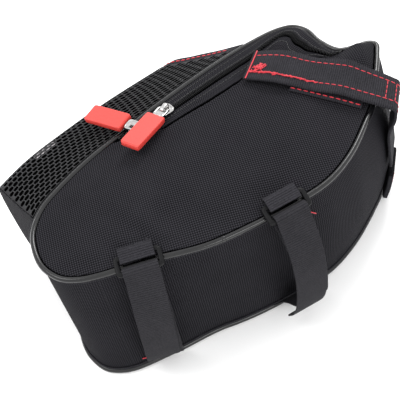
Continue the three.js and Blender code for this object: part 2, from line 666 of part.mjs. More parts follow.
// The seat-post strap: from its root low on the front wall, up it, slack over the piping, and across the
// top panel to its end beside the zip.
function postStrap() {
  const edge = edgeAt(POST_AT);
  const swell = WALL_SWELL * edge.swell;
  const stand = 2 * GAP + POST;
  const bight = (out, height) => planePoint(edge, out, height);
  const over = [
    wallPoint(edge, 0.42, stand),
    wallPoint(edge, 0.62, stand),
    bight(swell + POST_SLACK * 0.5, TOP_LEVEL - HEIGHT * 0.22),
    bight(swell + POST_SLACK, TOP_LEVEL - HEIGHT * 0.08),
    bight(swell + POST_SLACK * 0.95, TOP_LEVEL + POST_RISE * 0.4),
    bight(swell + POST_SLACK * 0.45, TOP_LEVEL + POST_RISE),
  ].map((middle) => [-0.5, 0, 0.5].map((share) => middle.clone().addScaledVector(edge.along, -share * POST_WIDTH)));
  const across = [0.1, 0.22, 0.34, 0.46, 0.58, 0.7, 0.85, 1].map((share) => {
    const slack = POST_RISE * 0.7 * Math.max(0, 1 - share / 0.4);
    return postStrapRow(edge, share * POST_REACH, ON_PANEL + STRIP + 3 * GAP + POST + slack, POST_WIDTH);
  });
  const lines = [0, 1, 2].map((k) => smoothLine([...over, ...across].map((row) => row[k]), 32));
  const grid = lines[0].map((_, i) => lines.map((line) => line[i]));
  return named("seatpost_strap", clothWall(grid, POST), WEBBING);
}

function postStrapRoot() {
  const edge = edgeAt(POST_AT);
  const top = (BACK_LEVEL + ROOT_TALL) / HEIGHT;
  const points = [0.04, 0.1, 0.18, top].map((rise) => wallPoint(edge, rise, GAP + ROOT_THICK / 2));
  return named("strap_root", band(points, points.map(() => edge.along), POST_WIDTH, ROOT_THICK), WEBBING);
}

// The fixed strip on the top panel that the seat-post strap closes on.
function fixedStrip() {
  const edge = edgeAt(POST_AT);
  const grid = Array.from({ length: STRIP_ROWS + 1 }, (_, i) => {
    const share = mix(STRIP_FROM, STRIP_TO, i / STRIP_ROWS);
    return postStrapRow(edge, share * POST_REACH, ON_PANEL + STRIP, STRIP_WIDTH, STRIP_SHIFT);
  });
  return named("fixed_strip", clothWall(grid, STRIP), WEBBING);
}

// Net pocket

const pocketEdge = new THREE.CatmullRomCurve3(
  POCKET_EDGE.map((row) => new THREE.Vector3(row.along * LENGTH, row.across * DEPTH, 0)),
  false,
  "centripetal",
);
const pocketSection = new THREE.CatmullRomCurve3(
  POCKET_SECTION.map((row) => new THREE.Vector3(row.out, row.rise, 0)),
  false,
  "centripetal",
);

// A point of the pocket's outer face: along it from its closed end to its rim, and round from the top
// piping to the back one, moved in by inset.
function pocketPoint(along, round, inset = 0) {
  const edge = edgeAt(mix(POCKET_FROM, POCKET_TO, along));
  const { x: out, y: rise } = pocketSection.getPointAt(round);
  const seam = wallPoint(edge, rise, EDGE_INSET + GAP);
  const past = pocketEdge.getTangentAt(1).multiplyScalar(Math.max(0, along - 1) * LENGTH * 0.6);
  const reach = sum(pocketEdge.getPointAt(Math.min(along, 1)), past).sub(level(seam, 0));
  return seam.addScaledVector(reach, out - inset / reach.length());
}

// A wall of the pocket between two shares of its length, round its whole section.
function pocketWall(rows, columns, from, to, thickness, open) {
  const grid = Array.from({ length: rows + 1 }, (_, j) =>
    Array.from({ length: columns + 1 }, (_, i) => pocketPoint(mix(from, to, i / columns), mix(0.01, 0.99, j / rows))),
  );
  return clothWall(grid, thickness, { open });
}

function pocketNet() {
  const hole = (i, j) => i % 2 === 1 && j % 2 === 1;
  const wall = pocketWall(2 * NET_ROWS + 1, 2 * NET_COLUMNS + 1, NET_FROM, 1 - NET_SEAM, NET, hole);
  return named("pocket_net", wall, BLACK_NET);
}

function pocketRim() {
  return named("pocket_rim", pocketWall(RIM_STEPS, 2, 1, 1 + RIM_SHARE, RIM_THICK), WEBBING);
}

// The plain cloth that closes the pocket's narrow end.
function pocketEnd() {
  const edge = edgeAt(POCKET_FROM);
  const grid = Array.from({ length: POCKET_END_STEPS + 1 }, (_, j) => {
    const outer = pocketPoint(0, mix(0.04, 0.96, j / POCKET_END_STEPS));
    const wall = wallPoint(edge, (outer.z - BACK_LEVEL) / HEIGHT, GAP + POCKET_END);
    return [0, 0.5, 1].map((k) => wall.clone().lerp(outer, k));
  });
  return named("pocket_end", clothWall(grid, POCKET_END), BLACK_CLOTH);
}

// The pale reflective patch behind the net, on the pocket's far side.
function reflectivePatch() {
  const grid = PATCH_PLACE.along.map((along) =>
    PATCH_PLACE.round.map((round) => pocketPoint(along, round, NET + PATCH_BEHIND)),
  ).reverse();
  return named("reflective_patch", clothWall(grid, PATCH), PALE_GREY);
}

const bag = new THREE.Group();
bag.add(piping("piping_top", 1), piping("piping_back", 0), gusset(), backPanel(), topPanel());
bag.add(zipTape("zip_tape_outer", () => 0, outerTape));
bag.add(zipTape("zip_tape_inner", innerTape, zipDepth));
bag.add(zipCoil(), ...pulls());
for (const strap of STRAPS) bag.add(hookStrap(strap), plasticLoop(strap), loopTab(strap));
bag.add(postStrap(), postStrapRoot(), fixedStrip());
bag.add(pocketNet(), pocketRim(), pocketEnd(), reflectivePatch());

// The origin is on the floor under the middle of the whole.
const bounds = new THREE.Box3().setFromObject(bag, true);
const middle = bounds.getCenter(new THREE.Vector3());
bag.position.set(-middle.x, -middle.y, -bounds.min.z);

export default bag;
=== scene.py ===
"""A zipped cloth saddle bag that lies on its back panel: its cloth, net, webbing, zip and thread, built
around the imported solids. Lengths are millimetres from the low corner of the top panel's outline, with X
along the strap edge and Z up from the floor, until in_frame turns them into the frame's metres."""

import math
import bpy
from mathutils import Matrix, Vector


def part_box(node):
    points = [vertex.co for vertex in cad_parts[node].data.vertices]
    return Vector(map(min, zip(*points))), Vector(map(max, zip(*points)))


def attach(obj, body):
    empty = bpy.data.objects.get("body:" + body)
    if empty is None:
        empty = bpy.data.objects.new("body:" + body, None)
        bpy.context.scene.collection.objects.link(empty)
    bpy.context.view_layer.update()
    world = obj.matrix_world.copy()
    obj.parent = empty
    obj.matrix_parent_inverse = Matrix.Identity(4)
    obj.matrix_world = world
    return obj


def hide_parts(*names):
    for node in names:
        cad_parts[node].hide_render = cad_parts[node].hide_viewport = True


bl_info = {
    "name": "Saddle Bag",
    "version": (1, 0, 0),
    "blender": (4, 5, 0),
    "location": "3D View > Sidebar > Saddle Bag",
    "description": "Builds a zipped cloth saddle bag with a net pocket and webbing straps",
    "category": "Object",
}

from types import SimpleNamespace

import bpy
import numpy as np
from mathutils import Matrix, Vector

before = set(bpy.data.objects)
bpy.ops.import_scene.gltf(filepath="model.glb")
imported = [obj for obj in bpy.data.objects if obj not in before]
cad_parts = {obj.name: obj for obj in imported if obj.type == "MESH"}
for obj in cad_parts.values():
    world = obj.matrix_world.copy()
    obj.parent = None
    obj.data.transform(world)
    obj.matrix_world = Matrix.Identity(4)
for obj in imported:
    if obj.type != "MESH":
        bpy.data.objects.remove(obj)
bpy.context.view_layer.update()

# Sizes of the solids
LENGTH = 228.0
DEPTH = 141.0
HEIGHT = 90.0
WALL_SWELL = 7.0
CLOTH = 1.5
PIPING_R = 1.7
GAP = 0.3
PANEL_PUFF = 8.0
DENT_FADE = 0.08
ZIP_DEPTH_FRONT = 28.0
ZIP_DEPTH_REAR = 18.0
ZIP_FROM = 0.45
ZIP_CORNER = 0.53
ZIP_TO = 0.775
ZIP_TAPER = 0.035
TAPE = 0.9
COIL_WIDTH = 4.2
COIL_SHARE = 0.4
COIL_RISE = 1.7
SLIDER_LENGTH = 11.0
SLIDER_WIDTH = 8.5
SLIDER_PLATE = 1.2
BRIDGE_WIDTH = 2.6
BRIDGE_LENGTH = 7.0
BRIDGE_WALL = 0.8
PIVOT_R = 0.7
PIVOT_CLEAR = 0.8
PULL_HEAD_WIDTH = 7.6
PULL_HEAD = 8.0
GRIP_LENGTH = 29.0
GRIP_WIDTH = 12.5
GRIP_THICK = 3.4
STRAP_WIDTH = 20.0
STRAP = 1.2
STRAP_PLY_GAP = 0.4
STRAP_LEAN = 6.0
ROOT_LEAN = 3.0
LOOP_BAR = 3.0
LOOP_THICK = 2.6
LOOP_SIDE_CLEAR = 0.5
LOOP_IN = 5.2
LOOP_OUT = 5.7
LOOP_IN_RISE = 5.6
LOOP_OUT_RISE = 2.2
TAB = 1.0
POST_WIDTH = 23.5
POST = 1.6
POST_AT = 0.353
POST_TURN = math.radians(-8.5)
POST_SLACK = 6.5
POST_RISE = 4.0
POST_REACH = 77.0
ROOT_THICK = 3.6
ROOT_TALL = 26.0
STRIP = 1.0
STRIP_WIDTH = 24.0
STRIP_SHIFT = -1.5
STRIP_FROM = 0.06
STRIP_TO = 0.62
POCKET_FROM = 0.884
POCKET_TO = 0.602
RIM_SHARE = 0.06
RIM_THICK = 2.2
POCKET_END = 1.3
PATCH_ALONG = (0.22, 0.34)
PATCH_ROUND = (0.3, 0.4)

# Sizes that only the dressing has, with the steps of its meshes
PANEL_STEPS = 400
PANEL_RINGS = np.concatenate([[1, 0.995, 0.985, 0.97], np.linspace(0.95, 0.04, 44)])
BACK_RINGS = np.concatenate([[1.0], np.linspace(0.97, 0.04, 20)])
PANEL_CLEAR = 7 * GAP
TURNED_EDGE = 0.5
TURNED_EDGE_IN = 2.0
TURNED_EDGE_SPREAD = 1.4
WRINKLES_FULL = 14.0
WALL_STEPS = 480
WALL_ROWS = 34
WALL_WAVES = 23
WALL_WAVE = 0.25
PIPING_STEPS = 720
FLANGE = 1.1
FLANGE_TALL = 1.2
FLANGE_PROUD = 0.2
FLANGE_AWAY = PIPING_R + 0.75
JOINT_AT = 0.1225
JOINT_HALF = 0.0018
JOINT_PROUD = 0.16
ZIP_STEPS = 260
ZIP_SEARCH_STEPS = 1600
ZIP_LEAST_DEPTH = 2.6
TAPE_COLUMNS = 15
TAPE_RIDGE = 0.45
TAPE_RIDGE_SPREAD = 0.07
OUTER_RIDGES = (0.3, 0.52)
INNER_RIDGES = (0.62,)
COIL_PITCH = 1.35
COIL_WIRE = 0.5
COIL_TURN = 0.52
COIL_TURN_STEPS = 14
COIL_REACH = 0.42
BRIDGE_POWER = 2 / 0.45
RING_WIRE = 1.3
RING_TALL = 1.35
RING_SHORT = 0.9
RING_STEPS = 64
NECK_HALF = 1.9
NECK_BACK = 2.6
NECK_CLEAR = 0.2
STRAP_STEPS = 170
LOOP_SHORT = 0.8
LOOP_STEPS = 120
TAB_REACH = 1.7
TAB_RISE = 4.0
TAB_STEPS = 120
TAB_NARROWER = 0.6
TAB_RIBS = 11
TAB_RIB = 0.38
POST_WAVE = 1.6
POST_ROWS = 150
POST_SPREAD = np.linspace(-0.5, 0.5, 13)
POST_SEAMS = (2, 9)
POST_SEAM_ROWS = slice(46, 146)
POST_BOX_ROWS = (57, 63)
POST_BUNDLE_ROWS = (104, 112, 126)
POST_TACK_ROW = 147
POST_KNOT = (141, 7)
BUNDLE_SPREAD = 0.3
KNOT_TURNS = 40
KNOT_SPREAD = (2.4, 1.4, 0.3)
ROOT_STEPS = 40
ROOT_SEAM = 7.5
STRIP_STEPS = 60
POCKET_RUN = 0.6
NET_MARGINS = (0.004, 0.01)
NET_STRAND = 0.35
NET_SEAM = (1.7, 1.4)
NET_FOLD = 0.4
NET_FOLD_SPREAD = 0.07
NET_LOW = (0.5, 0.62)
NET_LOW_HOLE = 0.6
# A near-black sheet just behind the net, painted shade for the inside of the pocket: its thickness and its
# depth behind the net.
SHADE_SHEET_THICK = 0.5
SHADE_SHEET_DEPTH = 0.62
FILM = 0.18
FILM_DEPTH = 0.38
DEEP_BLACK = (0.003, 0.003, 0.0035)
METAL_LOW = (0.3, 0.3, 0.3)
METAL_HIGH = (0.66, 0.65, 0.64)

# The top panel's outline, anticlockwise from above: along and across in shares of LENGTH and DEPTH, the
# swell of the wall below in shares of WALL_SWELL, and the back panel's slip along and across.
OUTLINE = [
    (0.132, 0.011, 0.1, 0, -0.087),
    (0.263, 0.011, 0.1, 0, -0.06),
    (0.404, 0.0, 0.15, 0, -0.008),
    (0.526, 0.028, 0.3, 0, -0.012),
    (0.649, 0.074, 0.5, 0, -0.008),
    (0.737, 0.128, 0.7, 0, -0.005),
    (0.811, 0.22, 0.9, 0.006, -0.005),
    (0.882, 0.355, 1.0, 0.016, -0.01),
    (0.925, 0.447, 1.0, 0.02, -0.01),
    (0.957, 0.567, 1.0, 0.02, -0.005),
    (0.99, 0.69, 0.9, 0.015, 0),
    (1.0, 0.748, 0.6, 0.01, 0),
    (0.982, 0.768, 0.3, 0.005, 0),
    (0.939, 0.766, 0.1, 0, 0),
    (0.9, 0.779, 0.0, 0, 0),
    (0.864, 0.862, 0.1, 0, 0),
    (0.846, 0.946, 0.3, 0, 0),
    (0.816, 0.992, 0.4, 0, 0),
    (0.77, 1.0, 0.3, 0, 0),
    (0.693, 0.972, 0.2, 0, 0),
    (0.592, 0.915, 0.2, 0, -0.01),
    (0.482, 0.837, 0.2, 0, -0.02),
    (0.373, 0.752, 0.1, 0, -0.035),
    (0.268, 0.66, 0.1, 0, -0.05),
    (0.18, 0.582, 0.1, 0, -0.06),
    (0.092, 0.482, 0.0, 0.004, -0.07),
    (0.035, 0.397, 0.0, 0.008, -0.075),
    (0.004, 0.298, 0.0, 0.012, -0.08),
    (0.0, 0.213, 0.0, 0.012, -0.085),
    (0.013, 0.121, 0.0, 0.012, -0.085),
    (0.048, 0.05, 0.0, 0.008, -0.087),
    (0.088, 0.021, 0.1, 0.004, -0.087),
]
# Bulges and dents of the top panel: along, across, spread in shares of DEPTH, rise in shares of PANEL_PUFF.
DENTS = [
    (0.825, 0.83, 0.17, 1.1),
    (0.94, 0.66, 0.13, 0.8),
    (0.885, 0.745, 0.075, -0.9),
    (0.235, 0.1, 0.1, -0.25),
    (0.6, 0.15, 0.1, -0.25),
]
# Creases of the top panel: along and across, spread, direction in degrees, pitch and depth.
CREASES = [
    (60.0, 22.0, 26.0, 40.0, 15.0, 0.8),
    (28.0, 50.0, 24.0, 20.0, 18.0, 0.6),
    (186.0, 112.0, 20.0, 55.0, 9.0, 0.7),
    (118.0, 62.0, 50.0, 130.0, 36.0, 0.7),
]
# Short marks of thread on the wall: shares of the outline and of the height, from one end to the other.
WALL_MARKS = [((0.209, 0.217), (0.88, 0.82)), ((0.011, 0.016), (0.08, 0.07))]
# Seams: the gap between two stitches, a stitch's length (None stands for the Stitch setting), its radius in
# shares of the thread's, and its lift above the cloth.
SEAMS = {
    "wall_mark": (-0.4, 1.9, 1.0, 0.1),
    "zip_seam": (0.4, 2.0, 4 / 7, 0.1),
    "post_thread": (0.8, None, 0.7, 0.1),
    "post_box": (0.4, None, 0.7, 0.1),
    "post_tack": (-0.7, 1.6, 1.1, 0.2),
    "post_bundle": (-1.3, 2.6, 1.0, 0.3),
    "post_knot": (0.2, 3.2, 0.9, 0.5),
    "root_thread": (0.6, 2.0, 0.7, 0.0),
    "strip_thread": (0.9, None, 1.0, 0.15),
    "rim_thread": (0.8, 2.8, 1.0, 0.1),
    "pocket_thread": (1.6, 2.6, 0.8, 0.1),
}
# A closed strap's outer ply: out in shares of its arch, rise in shares of HEIGHT.
STRAP_LINE = [
    (0.5, 0.95),
    (0.72, 0.86),
    (0.89, 0.74),
    (0.98, 0.61),
    (1.0, 0.47),
    (0.95, 0.32),
    (0.8, 0.19),
    (0.6, 0.09),
]
STRAPS = {"rear": (0.042, 24.0), "front": (0.188, 27.0)}
# A section of the net pocket: out towards its far edge, and rise.
POCKET_SECTION = [
    (0.0, 1.0),
    (0.3, 0.945),
    (0.62, 0.9),
    (0.92, 0.84),
    (1.0, 0.66),
    (1.0, 0.34),
    (0.92, 0.16),
    (0.62, 0.1),
    (0.3, 0.055),
    (0.0, 0.0),
]
# The pocket's far edge from its closed end to its rim.
POCKET_EDGE = [(-0.088, 0.69), (-0.005, 0.79), (0.095, 0.877), (0.235, 0.982), (0.41, 1.09)]
# The sliders: place on the outline, the way that the pull points, and how far it rises, in degrees.
PULLS = {"front": (0.713, 225.5, 10.0), "rear": (0.752, 133.0, -10.0)}

BACK_LEVEL = GAP + PIPING_R
TOP_LEVEL = BACK_LEVEL + HEIGHT
EDGE_INSET = PIPING_R + GAP
ON_PANEL = 2.5 * GAP
CENTRE = np.array([0.5 * LENGTH, 0.45 * DEPTH])
UP = np.array([0.0, 0.0, 1.0])

# The floor and the light, with lengths in metres: each lamp's place, size and power in watts
FLOOR_HALF = 4.0
SKY = 1.4
LAMP_TARGET = (0, 0, 0.05)
LAMPS = {
    "key": ((-0.7, 0.1, 1.3), 0.55, 5.0),
    "back": ((0.6, 0.9, 1.2), 0.5, 12.0),
    "front": ((0.4, -1.3, 1.0), 0.45, 5.0),
}

# The photograph's camera, with its lens and sensor in real millimetres
CAMERA_AT = (82.5, -269.5, 496.0)
CAMERA_HEADING = math.radians(2.6)
CAMERA_DROP = math.radians(53.38)
CAMERA_ROLL = math.radians(-14.72)
CAMERA_LENS = 81.0
CAMERA_SENSOR = 36.0


# Curves and frames


def unit(vectors):
    """The vectors' ways, each of length one."""
    return vectors / np.maximum(np.linalg.norm(vectors, axis=-1, keepdims=True), 1e-9)


def bell(value, middle, spread):
    """A Gaussian of height one."""
    return np.exp(-(((value - middle) / spread) ** 2))


def curve(points, t, closed):
    """Centripetal Catmull-Rom: between two neighbouring points a cubic, whose end slopes are set by the
    spacings of four neighbours, each to the power of one half. t runs from 0 to 1 over the whole line."""
    points = np.asarray(points, float)
    count = len(points)
    spans = count if closed else count - 1
    place = np.clip(t, 0, 1) * spans
    first = np.minimum(place.astype(int), spans - 1)
    w = (place - first)[:, None]
    if closed:
        a, b, c, d = (points[(first + k) % count] for k in (-1, 0, 1, 2))
    else:
        longer = np.vstack([2 * points[0] - points[1], points, 2 * points[-1] - points[-2]])
        a, b, c, d = (longer[first + k] for k in (0, 1, 2, 3))
    chords = (b - a, c - b, d - c)
    before, here, after = (np.maximum(np.linalg.norm(v, axis=1), 1e-8)[:, None] ** 0.5 for v in chords)
    before = np.where(before < 1e-4, here, before)
    after = np.where(after < 1e-4, here, after)
    slope_b = ((b - a) / before - (c - a) / (before + here) + (c - b) / here) * here
    slope_c = ((c - b) / here - (d - b) / (here + after) + (d - c) / after) * here
    return (
        b
        + slope_b * w
        + (3 * (c - b) - 2 * slope_b - slope_c) * w**2
        + (2 * (b - c) + slope_b + slope_c) * w**3
    )


def even_steps(points, closed):
    """Lengths along a curve at evenly spaced t, as shares of the whole, with those t."""
    t = np.linspace(0, 1, 4000)
    line = curve(points, t, closed)
    lengths = np.concatenate([[0], np.cumsum(np.linalg.norm(np.diff(line, axis=0), axis=1))])
    return lengths / lengths[-1], t


def smooth_line(points, count):
    """count points, evenly spaced, on the curve through the points."""
    shares, t = even_steps(points, False)
    return curve(points, np.interp(np.linspace(0, 1, count), shares, t), False)


OUTLINE_TABLE = np.array(OUTLINE, float)
OUTLINE_POINTS = OUTLINE_TABLE[:, :3] * (LENGTH, DEPTH, 1)
SLIP_POINTS = np.column_stack([OUTLINE_TABLE[:, 3:] * (LENGTH, DEPTH), np.zeros(len(OUTLINE))])
OUTLINE_SHARES, OUTLINE_T = even_steps(OUTLINE_POINTS, True)


def edges(share):
    """Places on the outline at shares of its length: the point, the ways along and out, the slip of the
    back panel below and the swell of the wall."""
    share = np.asarray(share, float)
    flat = share.ravel() % 1
    t = np.interp(flat, OUTLINE_SHARES, OUTLINE_T)
    at = curve(OUTLINE_POINTS, t, True)
    step = 5e-4
    ahead = curve(OUTLINE_POINTS, (t + step) % 1, True)
    behind = curve(OUTLINE_POINTS, (t - step) % 1, True)
    along = unit((ahead - behind) * (1, 1, 0))
    slip = curve(SLIP_POINTS, t, True)
    shape = share.shape
    return SimpleNamespace(
        point=at[:, :2].reshape(shape + (2,)),
        along=along.reshape(shape + (3,)),
        out=np.stack([along[:, 1], -along[:, 0], 0 * along[:, 0]], -1).reshape(shape + (3,)),
        slip=slip[:, :2].reshape(shape + (2,)),
        swell=at[:, 2].reshape(shape),
    )


def raised(flat, height):
    """Points from their places on the plan and their heights."""
    return np.concatenate([flat, height[..., None]], -1)


def wall(share, rise, offset=0.0):
    """The wall: the outline slides by the back panel's slip as rise goes from 1 to 0, and swells outwards by
    a parabola of the rise."""
    share, rise, offset = np.broadcast_arrays(share, rise, offset)
    edge = edges(share)
    flat = edge.point + edge.slip * (1 - rise)[..., None]
    reach = WALL_SWELL * edge.swell * 4 * rise * (1 - rise) + offset
    return raised(flat, BACK_LEVEL + HEIGHT * rise) + edge.out * reach[..., None]


RIM = edges(np.linspace(0, 1, 1440, endpoint=False)).point - CENTRE
RIM_ANGLE = np.arctan2(RIM[:, 1], RIM[:, 0])
RIM_ORDER = np.argsort(RIM_ANGLE)
RIM_RADIUS = np.linalg.norm(RIM, axis=1)


def top_height(flat):
    """The top surface: a shallow dome over the share of the way from the centre to the outline, with a
    Gaussian for each bulge or dent that fades out at the piping."""
    away = flat[..., :2] - CENTRE
    angle = np.arctan2(away[..., 1], away[..., 0])
    limit = np.interp(angle, RIM_ANGLE[RIM_ORDER], RIM_RADIUS[RIM_ORDER], period=2 * math.pi)
    share = np.minimum(np.linalg.norm(away, axis=-1) / limit, 1)
    near_edge = np.minimum(1, (1 - share) / DENT_FADE)
    dents = 0
    for along, across, spread, rise in DENTS:
        far = np.hypot(flat[..., 0] - along * LENGTH, flat[..., 1] - across * DEPTH) / (spread * DEPTH)
        dents = dents + rise * np.exp(-(far**2))
    return TOP_LEVEL + CLOTH / 2 + PANEL_PUFF * (1 - share**2 + near_edge * dents)


def top(share, inset, lift=0.0):
    """Points of the top surface, inset from the piping on the way to the centre."""
    share, inset = np.broadcast_arrays(share, inset)
    edge = edges(share)
    reach = ((edge.point - CENTRE) * edge.out[..., :2]).sum(-1)
    flat = (edge.point - CENTRE) * (1 - inset / reach)[..., None] + CENTRE
    return raised(flat, top_height(flat) + lift)


def smoothstep(value, low, high):
    t = np.clip((value - low) / (high - low), 0, 1)
    return t * t * (3 - 2 * t)


def zip_depth(share):
    """The zip's depth: full between its tapered ends, less from the corner to the pulls."""
    start = smoothstep(share, ZIP_FROM, ZIP_FROM + ZIP_TAPER)
    end = 1 - smoothstep(share, ZIP_TO - ZIP_TAPER, ZIP_TO)
    back = np.clip((share - ZIP_CORNER) / (ZIP_TO - ZIP_TAPER - ZIP_CORNER), 0, 1)
    return (ZIP_DEPTH_FRONT + (ZIP_DEPTH_REAR - ZIP_DEPTH_FRONT) * back) * start * end


def coil_width(share):
    return np.minimum(COIL_WIDTH, COIL_SHARE * zip_depth(share))


def zip_middle(share):
    return top(share, EDGE_INSET + zip_depth(share) / 2)


def coil_line(share):
    """The coil's centre line, with its ways along, sideways and up."""
    share = np.asarray(share, float)
    step = 0.004
    centre = zip_middle(share)
    along = unit(zip_middle(share + step) - zip_middle(share - step))
    side = unit(np.cross(along, UP))
    up = unit(np.cross(side, along))
    return SimpleNamespace(centre=centre + up * COIL_RISE / 2, along=along, side=side, up=up)


def plane_points(edge, out, height, lean=0.0):
    """Points in the upright plane square to one edge, at lengths outwards and heights, moved back along the
    edge by lean."""
    out, height, lean = np.broadcast_arrays(out, height, lean)
    foot = raised(np.broadcast_to(edge.point, out.shape + (2,)), height)
    return foot + edge.out * out[..., None] - edge.along * lean[..., None]


# The solids are centred on their box, whose corner the top piping's corner gives.
STEPS = np.arange(64) / 64
PIPING_ANGLES = -2 * math.pi * (np.arange(6) + 0.5) / 6
PIPING_REACH = edges(STEPS).out[:, None] * PIPING_R * np.cos(PIPING_ANGLES)[:, None]
CORNER = (wall(STEPS, 1.0)[:, None] + PIPING_REACH).reshape(-1, 3).min(0)[:2]
SHIFT = np.array([*(np.array(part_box("piping_top")[0][:2]) * 1000 - CORNER), 0.0])


def in_frame(points):
    return (np.asarray(points) + SHIFT) * 0.001


# Meshes


def new_mesh(name, points, faces, uvs=None, smooth=True):
    """A mesh object in metres from points in millimetres; uvs is one pair for each face corner."""
    mesh = bpy.data.meshes.new(name)
    faces = faces.tolist() if isinstance(faces, np.ndarray) else faces
    mesh.from_pydata(in_frame(points).tolist(), [], faces)
    if uvs is not None:
        layer = mesh.uv_layers.new(name="UVMap")
        layer.data.foreach_set("uv", np.asarray(uvs, np.float32).ravel())
    mesh.polygons.foreach_set("use_smooth", np.full(len(mesh.polygons), smooth))
    mesh.update()
    obj = bpy.data.objects.new(name, mesh)
    bpy.context.scene.collection.objects.link(obj)
    return obj


def volume(points, quads):
    a, b, c, d = (points[quads[:, k]] for k in range(4))
    return (np.einsum("ij,ij->i", a, np.cross(b, c)) + np.einsum("ij,ij->i", a, np.cross(c, d))).sum() / 6


def lengths_along(points):
    return np.concatenate([[0], np.cumsum(np.linalg.norm(np.diff(points, axis=0), axis=1))])


def grid_faces(rows, columns, ring):
    """Quads of a grid of points, and each corner's row and column counted without wrapping round."""
    i, j = np.meshgrid(np.arange(rows if ring else rows - 1), np.arange(columns - 1), indexing="ij")
    row = np.stack([i, i + 1, i + 1, i], -1).reshape(-1, 4)
    column = np.stack([j, j, j + 1, j + 1], -1).reshape(-1, 4)
    return (row % rows) * columns + column, row, column


def cloth(name, grid, thickness, ring=False, pole=False):
    """A sheet through a grid of points, whose normal is the way along rows crossed with the way along
    columns. Its wall grows inwards. A ring joins the last row to the first, and a pole closes the last
    column. The UV map is the length along the rows and the columns, in metres."""
    rows, columns = grid.shape[:2]
    faces, row, column = grid_faces(rows, columns, ring)
    middle = grid[:, 0 if pole else columns // 2]
    along = lengths_along(np.vstack([middle, middle[:1]]) if ring else middle)
    across = lengths_along(grid[rows // 2])
    uvs = np.stack([along[row], across[column]], -1).reshape(-1, 2) * 0.001
    points = grid.reshape(-1, 3)
    faces = faces.tolist()
    if pole:
        hub = len(points)
        points = np.vstack([points, grid[:, -1].mean(0)])
        edge = np.arange(rows) * columns + columns - 1
        faces += np.stack([edge, np.roll(edge, -1), np.full(rows, hub)], -1).tolist()
        uvs = np.vstack([uvs, np.zeros((3 * rows, 2))])
    obj = new_mesh(name, points, faces, uvs)
    shell = obj.modifiers.new("Wall", "SOLIDIFY")
    shell.thickness = thickness * 0.001
    shell.offset = -1
    shell.use_even_offset = False
    return obj


def superellipse(angle, half_x, half_y, power):
    """Cosine and sine, each with its size to 2 / power: a high power gives a rounded rectangle."""
    c, s = np.cos(angle), np.sin(angle)
    x = half_x * np.sign(c) * np.abs(c) ** (2 / power)
    y = half_y * np.sign(s) * np.abs(s) ** (2 / power)
    return x, y


def rounded_section(width, thickness, count, power):
    angle = -2 * math.pi * (np.arange(count) + 0.5) / count
    return np.stack(superellipse(angle, width / 2, thickness / 2, power), -1)


def sweep(name, centres, sides, ups, section, closed=False):
    """A section carried along a path: centre + side times its first coordinate + up times its second. The
    section may change along the path. Open ends are closed with a flat cap."""
    rows = len(centres)
    section = np.broadcast_to(section, (rows,) + section.shape[-2:])
    count = section.shape[1]
    sides, ups = (np.broadcast_to(way, centres.shape)[:, None] for way in (sides, ups))
    points = centres[:, None] + sides * section[..., :1] + ups * section[..., 1:]
    i, j = np.meshgrid(np.arange(rows if closed else rows - 1), np.arange(count), indexing="ij")
    row = np.stack([i, i, i + 1, i + 1], -1).reshape(-1, 4)
    column = np.stack([j, j + 1, j + 1, j], -1).reshape(-1, 4)
    quads = (row % rows) * count + column % count
    points = points.reshape(-1, 3)
    along = lengths_along(np.vstack([centres, centres[:1]]))
    round_it = lengths_along(np.vstack([section[0], section[0, :1]]))
    uvs = np.stack([along[row], round_it[column]], -1).reshape(-1, 2) * 0.001
    caps = []
    if not closed:
        caps = [list(range(count))[::-1], list(range((rows - 1) * count, rows * count))]
        uvs = np.vstack([uvs, np.zeros((2 * count, 2))])
    if volume(points, quads) < 0:
        quads = quads[:, ::-1]
        uvs[: len(quads) * 4] = uvs[: len(quads) * 4].reshape(-1, 4, 2)[:, ::-1].reshape(-1, 2)
        caps = [cap[::-1] for cap in caps]
    return new_mesh(name, points, quads.tolist() + caps, uvs)


def frames_along(points, side, closed):
    """The ways sideways and up for a line, with the way sideways kept near the given one."""
    if closed:
        along = unit(np.roll(points, -1, 0) - np.roll(points, 1, 0))
    else:
        along = unit(np.gradient(points, axis=0))
    up = unit(np.cross(np.broadcast_to(side, points.shape), along))
    return unit(np.cross(along, up)), up


def carry(name, line, side, section, closed=False):
    """A section carried along a line, whose first coordinate runs near the given side."""
    side, up = frames_along(line, side, closed)
    return sweep(name, line, side, up, section, closed)


def grid_normals(grid):
    return unit(np.cross(np.gradient(grid, axis=0), np.gradient(grid, axis=1)))


def copies(name, shape, quads, centres, basis):
    """Many copies of one small shape: centre + basis times its points, in one mesh."""
    points = (centres[:, None] + np.einsum("pk,nkc->npc", shape, basis)).reshape(-1, 3)
    faces = (quads[None] + (np.arange(len(centres)) * len(shape))[:, None, None]).reshape(-1, 4)
    if volume(points, faces) < 0:
        faces = faces[:, ::-1]
    return new_mesh(name, points, faces)


def capsule():
    """A six-sided ellipsoid of unit half length and radii, with small flat ends, as points and quads."""
    sides, rings = 6, 5
    last = 1.35
    latitude = np.linspace(-last, last, rings)[:, None]
    angle = 2 * math.pi * np.arange(sides) / sides
    level = np.broadcast_to(np.sin(latitude) / math.sin(last), (rings, sides))
    shape = np.stack([level, np.cos(latitude) * np.cos(angle), np.cos(latitude) * np.sin(angle)], -1)
    shape = shape.reshape(-1, 3)
    faces = []
    for i in range(rings - 1):
        for j in range(sides):
            k = (j + 1) % sides
            faces.append([i * sides + j, i * sides + k, (i + 1) * sides + k, (i + 1) * sides + j])
    for base in (0, (rings - 1) * sides):
        order = [0, 1, 2, 3] if base else [3, 2, 1, 0]
        faces.append([base + k for k in order])
        faces.append([base + k for k in ([0, 3, 4, 5] if base else [5, 4, 3, 0])])
    return shape, np.array(faces)


